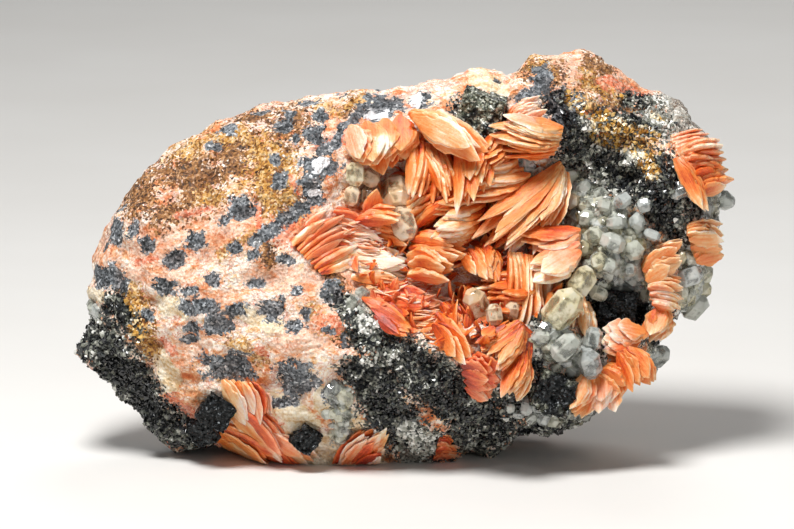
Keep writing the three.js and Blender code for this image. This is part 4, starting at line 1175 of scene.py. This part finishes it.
def bladed_barite():
    """Barite stained by iron: waxy, translucent, cream along thin edges; deep orange at the heart, partly as
    painted shade in the pocket and low by the rock.
    """
    material, tree = new_material("barite, iron-stained, bladed")
    place = add(tree, "ShaderNodeTexCoord").outputs["Object"]
    rim, along, tone, deep, rust = (
        add(tree, "ShaderNodeAttribute", attribute_name=key).outputs["Fac"]
        for key in ("rim", "along", "tone", "deep", "rust")
    )
    grain = add(tree, "ShaderNodeAttribute", attribute_name="grain").outputs["Vector"]
    stretched = add(tree, "ShaderNodeMapping", {"Vector": grain, "Scale": (0.25, 2.2, 3)})
    streak = add(tree, "ShaderNodeTexNoise", {
        "Vector": stretched, "Scale": 1, "Detail": 5, "Roughness": 0.65,
    })
    cloud = add(tree, "ShaderNodeTexNoise", {"Vector": place, "Scale": per_mm(4), "Detail": 4})
    dust = add(tree, "ShaderNodeTexNoise", {
        "Vector": place, "Scale": per_mm(0.45), "Detail": 4, "Roughness": 0.7,
    })
    # How pale the crystal is: streaks along the growth, thin rims and tips pale, roots in the pocket and low
    # by the rock deep as painted shade.
    pallor = weighed_sum(tree, -0.5, (
        (streak, 0.9), (along, 0.16), (rim, 0.3), (tone, 0.2), (cloud, 0.5), (deep, -0.62), (dust, 0.4),
    ))
    stained = add(tree, "ShaderNodeMath", {0: rust, 1: cloud}, operation="MULTIPLY")
    share = add(tree, "ShaderNodeMapRange", {
        "Value": stained, "From Min": 0.2, "From Max": 0.52, "To Max": 0.75,
    })
    colour = add(tree, "ShaderNodeMix", {
        0: share, 6: shaded(tree, pallor, STAINED_ORANGE), 7: shaded(tree, pallor, STAINED_RED),
    }, data_type="RGBA")
    bump = add(tree, "ShaderNodeBump", {
        "Height": weighed_sum(tree, streak.outputs["Fac"], ((dust, 0.8),)), "Strength": 0.6,
        "Distance": 0.25 * MM,
    })
    shader = add(tree, "ShaderNodeBsdfPrincipled", {
        "Base Color": colour, "Roughness": 0.38, "IOR": 1.64, "Subsurface Weight": 0.3,
        "Subsurface Radius": (1, 0.45, 0.2), "Subsurface Scale": MM, "Normal": bump,
    })
    add(tree, "ShaderNodeOutputMaterial", {"Surface": shader})
    return material


def clear_cerussite():
    """Cerussite: clear to straw and tan, brilliant, a little milky, with faint growth lines on its faces."""
    material, tree = new_material("cerussite, clear")
    place = add(tree, "ShaderNodeTexCoord").outputs["Object"]
    tint, rim = (
        add(tree, "ShaderNodeAttribute", attribute_name=key).outputs["Fac"] for key in ("tint", "rim")
    )
    half_tint = add(tree, "ShaderNodeMath", {0: tint, 1: 0.5}, operation="MULTIPLY")
    milk = add(tree, "ShaderNodeTexNoise", {"Vector": place, "Scale": per_mm(1.5), "Detail": 4})
    colour = shaded(tree, half_tint, (
        (0, "#C6CAC6"), (0.25, "#D0D2C2"), (0.5, "#E9DFB4"), (0.75, "#F8DEB8"), (1, "#F2CE9E"),
    ))
    white = add(tree, "ShaderNodeMapRange", {
        "Value": milk, "From Min": 0.5, "From Max": 0.75, "To Max": 0.6,
    })
    clouded = add(tree, "ShaderNodeMix", {0: white, 6: colour, 7: linear("#F2F3EC")}, data_type="RGBA")
    clear = add(tree, "ShaderNodeMapRange", {
        "Value": weighed_sum(tree, milk.outputs["Fac"], ((rim, 0.14),)), "From Min": 0.44,
        "From Max": 0.6, "To Min": 0.8, "To Max": 0.25,
    })
    steps = add(tree, "ShaderNodeTexVoronoi", {"Vector": place, "Scale": per_mm(1.2)})
    bump = add(tree, "ShaderNodeBump", {
        "Height": milk, "Strength": 0.15, "Distance": 0.2 * MM, "Normal": facets(tree, steps, 0.12),
    })
    shader = add(tree, "ShaderNodeBsdfPrincipled", {
        "Base Color": clouded, "Roughness": 0.06, "IOR": 1.8, "Transmission Weight": clear, "Normal": bump,
    })
    depth = add(tree, "ShaderNodeVolumeAbsorption", {"Color": linear("#D8DDCB"), "Density": 70})
    add(tree, "ShaderNodeOutputMaterial", {"Surface": shader, "Volume": depth})
    return material


BLACK_GREYS = ((0, "#050606"), (0.5, "#101214"), (0.8, "#25282A"), (0.95, "#3C4042"), (1, "#6A6E70"))
WEATHERED_OLIVE = ((0, "#23251E"), (0.3, "#4A4D40"), (0.6, "#7C7F6C"), (0.85, "#B4B5A2"), (1, "#ECECE0"))


def granular_galena():
    """Galena: black-grey and metallic, a mosaic of small cleavage faces, weathered greenish in places."""
    material, tree = new_material("galena, granular, tarnished")
    place = add(tree, "ShaderNodeTexCoord").outputs["Object"]
    weathered = add(tree, "ShaderNodeAttribute", attribute_name="weathered").outputs["Fac"]
    grain = add(tree, "ShaderNodeTexVoronoi", {"Vector": place, "Scale": per_mm(0.8)}, distance="CHEBYCHEV")
    fine = add(tree, "ShaderNodeTexVoronoi", {"Vector": place, "Scale": per_mm(0.3)})
    tarnish = add(tree, "ShaderNodeTexNoise", {"Vector": place, "Scale": per_mm(2.2), "Detail": 4})
    pick = add(tree, "ShaderNodeSeparateColor", {0: fine.outputs["Color"]}).outputs
    share = add(tree, "ShaderNodeMath", {0: tarnish, 1: weathered}, operation="MULTIPLY")
    share = add(tree, "ShaderNodeMapRange", {"Value": share, "From Min": 0.38, "From Max": 0.52})
    colour = add(tree, "ShaderNodeMix", {
        0: share, 6: shaded(tree, pick[0], BLACK_GREYS), 7: shaded(tree, pick[0], WEATHERED_OLIVE),
    }, data_type="RGBA")
    metal = add(tree, "ShaderNodeMapRange", {"Value": share, "To Min": 0.5, "To Max": 0})
    dull = add(tree, "ShaderNodeMapRange", {"Value": pick[1], "To Min": 0.16, "To Max": 0.46})
    bump = add(tree, "ShaderNodeBump", {
        "Height": grain, "Strength": 0.7, "Distance": 0.3 * MM, "Normal": facets(tree, grain, 0.8),
    })
    shader = add(tree, "ShaderNodeBsdfPrincipled", {
        "Base Color": colour, "Metallic": metal, "Roughness": dull, "Normal": bump,
    })
    add(tree, "ShaderNodeOutputMaterial", {"Surface": shader})
    return material


# From black ore to white: the whitest grains are partly white carbonate, partly painted glints.
GRIT_GREYS = (
    (0, "#08090B"), (0.32, "#1A1C1F"), (0.48, "#414443"), (0.64, "#74766A"), (0.84, "#ACACA0"),
    (1, "#ECEBE4"),
)
GRIT_GOLDS = ((0, "#8E6022"), (0.3, "#D29E46"), (0.6, "#ECC87E"), (1, "#FFF4DA"))
# What shifts a grain's tone: the mark, where the shift starts and is full, and how far it goes. The shift by
# the hollows' depth is painted shade; the dark shift is painted shade on the lower left and darker grit
# elsewhere.
GRIT_SHIFTS = (("dark", -0.4, 0.4, -0.24), ("pit_shade", -0.4, 0.5, -0.45), ("frost", -0.3, 0.4, 0.4))


def drusy_grit():
    """Drusy grit: grains from black ore to grey and white carbonate, glassy, some of them golden; some white
    grains are painted glints.
    """
    material, tree = new_material("drusy grit, ore and carbonate")
    mark = {key: add(tree, "ShaderNodeAttribute", attribute_name=key).outputs["Fac"]
            for key in ("tone", "amber", *(row[0] for row in GRIT_SHIFTS))}
    terms = [(mark["tone"], 1)]
    for key, low, high, shift in GRIT_SHIFTS:
        share = add(tree, "ShaderNodeMapRange", {"Value": mark[key], "From Min": low, "From Max": high})
        terms.append((share, shift))
    tone = weighed_sum(tree, 0.12, terms)
    golden = add(tree, "ShaderNodeMapRange", {"Value": mark["amber"], "From Min": -0.1, "From Max": 0.25})
    mixed = add(tree, "ShaderNodeMix", {
        0: golden, 6: shaded(tree, tone, GRIT_GREYS), 7: shaded(tree, tone, GRIT_GOLDS),
    }, data_type="RGBA")
    shader = add(tree, "ShaderNodeBsdfPrincipled", {"Base Color": mixed, "Roughness": 0.2, "IOR": 1.7})
    add(tree, "ShaderNodeOutputMaterial", {"Surface": shader})
    return material


def pale_floor():
    """Pale board: matt and even, so it only takes the shadow."""
    material, tree = new_material("pale board, matt")
    place = add(tree, "ShaderNodeTexCoord").outputs["Object"]
    fibre = add(tree, "ShaderNodeTexNoise", {"Vector": place, "Scale": per_mm(40), "Detail": 3})
    colour = add(tree, "ShaderNodeMix", {0: fibre, 6: linear("#DEDBD6"), 7: linear("#E6E4E0")},
                 data_type="RGBA")
    shader = add(tree, "ShaderNodeBsdfPrincipled", {"Base Color": colour, "Roughness": 0.7})
    add(tree, "ShaderNodeOutputMaterial", {"Surface": shader})
    return material


# ---------------------------------------------------------------- small crystals, by Geometry Nodes
GROWTH_INPUTS = {
    "Host": "Geometry", "Crystal": "Object", "Finish": "Material", "Place": "String",
    "Per Square Metre": "Float", "Smallest": "Float", "Largest": "Float", "Lean": "Float",
    "Toward": "Vector", "Seed": "Int",
}
# A small crystal's proportions, and its tone: the least and greatest by chance, then what patches of two
# sizes in millimetres add to it.
PROPORTIONS = ((0.7, 0.7, 0.7), (1.3, 1.3, 1.3))
TONES = (-1.9, -0.88)
TONE_PATCHES = ((5, 1.7), (1.4, 2.1))


def growth_tree():
    """Geometry nodes that grow copies of one crystal over a host, thickest where an attribute says."""
    tree = bpy.data.node_groups.new("crystal growth", "GeometryNodeTree")
    for name, kind in GROWTH_INPUTS.items():
        tree.interface.new_socket(name, in_out="INPUT", socket_type="NodeSocket" + kind)
    tree.interface.new_socket("Crystals", in_out="OUTPUT", socket_type="NodeSocketGeometry")
    given = add(tree, "NodeGroupInput").outputs
    thickness = add(tree, "GeometryNodeInputNamedAttribute", {"Name": given["Place"]}, data_type="FLOAT")
    density = add(tree, "ShaderNodeMath", {0: thickness, 1: given["Per Square Metre"]},
                  operation="MULTIPLY")
    points = add(tree, "GeometryNodeDistributePointsOnFaces", {
        "Mesh": given["Host"], "Density": density, "Seed": given["Seed"],
    })
    less = add(tree, "ShaderNodeMath", {0: given["Lean"], 1: -1}, operation="MULTIPLY")
    low = add(tree, "ShaderNodeCombineXYZ", {"X": less, "Y": less, "Z": 0})
    high = add(tree, "ShaderNodeCombineXYZ", {"X": given["Lean"], "Y": given["Lean"], "Z": 2 * math.pi})
    spin = add(tree, "FunctionNodeRandomValue", {0: low, 1: high, "Seed": given["Seed"]},
               data_type="FLOAT_VECTOR")
    spin = add(tree, "FunctionNodeEulerToRotation", {0: spin})
    swept = add(tree, "ShaderNodeVectorMath", {0: points.outputs["Normal"], 1: given["Toward"]},
                operation="ADD")
    swept = add(tree, "FunctionNodeAlignRotationToVector", {
        "Rotation": points.outputs["Rotation"], "Vector": swept,
    }, axis="Z")
    stand = add(tree, "FunctionNodeRotateRotation", {0: swept, 1: spin}, rotation_space="LOCAL")
    size = add(tree, "FunctionNodeRandomValue", {
        2: given["Smallest"], 3: given["Largest"], "Seed": given["Seed"],
    }, data_type="FLOAT")
    form = add(tree, "FunctionNodeRandomValue", {0: PROPORTIONS[0], 1: PROPORTIONS[1], "Seed": 3},
               data_type="FLOAT_VECTOR")
    scale = add(tree, "ShaderNodeVectorMath", {0: form, "Scale": size}, operation="SCALE")
    crystal = add(tree, "GeometryNodeObjectInfo", {"Object": given["Crystal"]})
    grown = add(tree, "GeometryNodeInstanceOnPoints", {
        "Points": points, "Instance": crystal.outputs["Geometry"], "Rotation": stand, "Scale": scale,
    })
    position = add(tree, "GeometryNodeInputPosition")
    tone = weighed_sum(
        tree,
        add(tree, "FunctionNodeRandomValue", {2: TONES[0], 3: TONES[1], "Seed": 9}, data_type="FLOAT"),
        [(add(tree, "ShaderNodeTexNoise", {"Vector": position, "Scale": per_mm(wide), "Detail": 2}), weight)
         for wide, weight in TONE_PATCHES],
    )
    tint = add(tree, "ShaderNodeMath", {0: tone, 1: 0.8}, operation="MULTIPLY", use_clamp=True)
    for name, value in (("tone", tone), ("tint", tint)):
        grown = add(tree, "GeometryNodeStoreNamedAttribute", {
            "Geometry": grown, "Name": name, "Value": value,
        }, data_type="FLOAT", domain="INSTANCE")
    real = add(tree, "GeometryNodeRealizeInstances", {0: grown})
    finished = add(tree, "GeometryNodeSetMaterial", {"Geometry": real, "Material": given["Finish"]})
    add(tree, "NodeGroupOutput", {0: finished})
    return tree


def grow_crystals(name, tree, host, crystal, finish, place, per_square_mm, sizes, lean, toward, seed):
    """One plain mesh of small crystals grown over the host, and swept one way; sizes in millimetres."""
    grower = host.copy()
    bpy.context.scene.collection.objects.link(grower)
    modifier = grower.modifiers.new("growth", "NODES")
    modifier.node_group = tree
    values = {
        "Crystal": crystal, "Finish": finish, "Place": place, "Per Square Metre": per_square_mm * 1e6,
        "Smallest": sizes[0] * MM, "Largest": sizes[1] * MM, "Lean": lean, "Toward": toward, "Seed": seed,
    }
    for item in tree.interface.items_tree:
        if item.in_out == "INPUT" and item.name in values:
            modifier[item.identifier] = values[item.name]
    bpy.context.view_layer.update()
    seen = grower.evaluated_get(bpy.context.evaluated_depsgraph_get())
    mesh = bpy.data.meshes.new_from_object(seen)
    bpy.data.objects.remove(grower)
    mesh.name = name
    piece = bpy.data.objects.new(name, mesh)
    bpy.context.scene.collection.objects.link(piece)
    return piece


def growth_form(name, points, faces, marks):
    """A crystal one unit in size, kept out of the scene, for the growth nodes to copy."""
    form = new_object(name, points, faces, marks)
    bpy.context.scene.collection.objects.unlink(form)
    return form


# ---------------------------------------------------------------- the pieces
def place_piece(piece, material, slot, *nodes):
    """Gives a finished piece its material and its body, and hides the solids that it stands for."""
    if material:
        piece.data.materials.clear()
        piece.data.materials.append(material)
    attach(piece, "root")
    if nodes:
        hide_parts(*nodes)
    return piece


FOOT_CLEARANCE = (1.5, 4) # from where to where, in millimetres over the foot, small crystals set in
# How deep in its zone each kind of small crystal is at its thickest.
GRIT_FULL, STRAW_FULL, SWATH_FULL = 0.6, 0.7, 0.5
SMALL_BLADE_AREA = (8, 4, 17, 18) # middle across and up, half width, half height
STRAW_CEILING = 17
# Where fine lamellae lie close together, swept across the face from the left.
SWATH_STROKES = [(-9, 5, -3, -1, 2.2), (-4, -2.4, 3, -5.6, 2.4), (1, -7.4, 5, -9.6, 1.6)]

world_rock, rock_faces, rock_zone = rock_piece(ROCK_FREQUENCY)
face_rock = to_face(world_rock)
face_across, face_back, face_up = face_rock.T
front = face_back < 0
clear_of_foot = smooth_step(*FOOT_CLEARANCE, world_rock[:, 2] / MM)
in_druse = smooth_step(0, GRIT_FULL, rock_zone["druse"])
in_frost = smooth_step(0, STRAW_FULL, rock_zone["frost"])
growth_places = {
    "grit": in_druse * clear_of_foot,
    "pocket": front * inside(*SMALL_BLADE_AREA, face_across, face_up),
    "straw": in_frost * clear_of_foot * (face_up < STRAW_CEILING) * (1 - in_druse),
    "swath": front * smooth_step(0, SWATH_FULL, stroke_depth(SWATH_STROKES, face_across, face_up)),
    "rust": nearness(RUSTY_PLACES, face_rock),
}
rock = new_object("matrix_rock", world_rock, rock_faces, {**rock_zone, **growth_places}, smooth=True)

ROCK = vein_rock()
BLADES = bladed_barite()
CLEAR = clear_cerussite()
LEAD = granular_galena()
GRIT = drusy_grit()

grain_form = growth_form("grain_form", *hull([
    (0.5, 0.1, 0), (-0.4, 0.3, 0), (0, -0.5, 0.1), (0.1, 0.1, 0.6), (-0.1, 0, -0.5), (0.3, -0.2, 0.35),
    (-0.3, 0.2, 0.3),
]))
# A tablet is six-sided: two broad rings with a narrower ring above and below them.
tablet_points, tablet_faces, tablet_marks = hull([
    (radius * math.cos(side * math.pi / 3), radius * math.sin(side * math.pi / 3), level)
    for radius, levels in ((0.5, (-0.2, 0.22)), (0.3, (-0.34, 0.36)))
    for side in range(6)
    for level in levels
])
tablet_marks["rim"] *= 0.3
tablet_form = growth_form("tablet_form", tablet_points, tablet_faces, tablet_marks)
lath_points, lath_faces, lath_marks = leaf(
    root=np.array([0, 0, -0.4]), along=np.array([0, 0, 1.0]), normal=np.array([0, 1.0, 0]), length=1.3,
    width=0.46, thick=0.1, bow=0.4, seed=3, steps=7,
)
del lath_marks["tone"] # each one gets its own as it grows
lath_marks["grain"] *= 3
# Painted shade: the small blades in the pocket take its deeper orange.
lath_marks["deep"] = np.full(len(lath_points), 0.75)
lath_form = growth_form("lath_form", lath_points, lath_faces, lath_marks)
fibre_marks = {**lath_marks, "deep": np.full(len(lath_points), 0.15)}
fibre_form = growth_form("fibre_form", lath_points * np.array([0.42, 0.8, 1]), lath_faces, fibre_marks)

few = 1.0
# Small crystals on the rock: piece, form, finish, where, how many per square millimetre, smallest and
# largest size, how far they lean, the direction that they are swept in, seed, slot.
GROWTHS = (
    ("druse_grit", grain_form, GRIT, "grit", 4.2 * few, (0.32, 1), 1.2, (0, 0, 0), 5, "matrix"),
    ("pocket_small_blades", lath_form, BLADES, "pocket", 0.45, (1.6, 4.6), 1, (0, 0, 0), 8, "barite"),
    ("barite_swath", fibre_form, BLADES, "swath", 3 * few, (1.6, 4), 0.3, (3, 0, -0.5), 15, "barite"),
    ("cerussite_small", tablet_form, CLEAR, "straw", 2.2 * few, (0.8, 2.6), 1.3, (0, 0, 0), 12,
     "cerussite"),
)
growth = growth_tree()
grown_pieces = [(grow_crystals(name, growth, rock, *settings), slot) for name, *settings, slot in GROWTHS]

place_piece(rock, ROCK, "matrix", "matrix")
for grown_piece, grown_slot in grown_pieces:
    place_piece(grown_piece, None, grown_slot)
for node in sorted({*BARITE, *FLUSH_BARITE}):
    leaves = [a_leaf for row in BARITE.get(node, []) for a_leaf in blade_row(row, False)]
    leaves += [a_leaf for row in FLUSH_BARITE.get(node, []) for a_leaf in blade_row(row, True)]
    place_piece(merged(node + "_blades", world_parts(leaves)), BLADES, "barite", node)
for node, crystals in CERUSSITE.items():
    stout = [stout_crystal(*crystal) for crystal in crystals]
    place_piece(merged(node + "_crystals", world_parts(stout)), CLEAR, "cerussite", node)
for node, blocks in GALENA.items():
    cubes = [ore_block(*block) for block in blocks]
    place_piece(merged(node + "_cubes", world_parts(cubes)), LEAD, "galena", node)

# ---------------------------------------------------------------- floor, light and camera
FLOOR_HALF = 0.9
floor_corners = [(FLOOR_HALF * x, FLOOR_HALF * y, 0) for x, y in ((-1, -1), (1, -1), (1, 1), (-1, 1))]
floor = new_object("floor", floor_corners, [(0, 1, 2, 3)])
floor.data.materials.append(pale_floor())

# Soft round lights, aimed at the middle of the block: name, position, size, watts.
LIGHTS = (
    ("key light", (-0.1, -0.17, 0.44), 0.18, 2.9),
    ("fill light", (0.35, -0.45, 0.18), 0.4, 0.3),
    ("rear light", (0.1, 0.4, 0.4), 0.3, 0.7),
)
BLOCK_MIDDLE = Vector((0, 0, 0.03))
for name, position, size, watts in LIGHTS:
    light = bpy.data.lights.new(name, "AREA")
    light.shape = "DISK"
    light.size = size
    light.energy = watts
    lamp = bpy.data.objects.new(name, light)
    lamp.location = position
    lamp.rotation_euler = (BLOCK_MIDDLE - Vector(position)).to_track_quat("-Z", "Y").to_euler()
    bpy.context.scene.collection.objects.link(lamp)

world = bpy.data.worlds.new("studio")
world.use_nodes = True
surroundings = world.node_tree.nodes["Background"].inputs
surroundings["Color"].default_value = linear("#E9ECEF")
surroundings["Strength"].default_value = 0.18
bpy.context.scene.world = world

LENS = 300.0
SENSOR = 36.0
IMAGE_ACROSS = 119.1 # millimetres that the image spans at the middle of the block
AIM_ACROSS = -1.35
AIM_UP = 0.2
TO_VIEWER = Vector((0, -LEAN_COSINE, LEAN_SINE))
camera_data = bpy.data.cameras.new("camera")
camera_data.lens = LENS
camera_data.sensor_width = SENSOR
camera_data.clip_start = 0.05
camera_data.clip_end = 20
camera = bpy.data.objects.new("camera", camera_data)
aim = Vector(to_world([(AIM_ACROSS, 0, AIM_UP)])[0])
camera.location = aim + TO_VIEWER * (IMAGE_ACROSS * MM * LENS / SENSOR)
camera.rotation_euler = (-TO_VIEWER).to_track_quat("-Z", "Y").to_euler()
bpy.context.scene.collection.objects.link(camera)
bpy.context.scene.camera = camera
bpy.context.scene.view_settings.view_transform = "Standard"
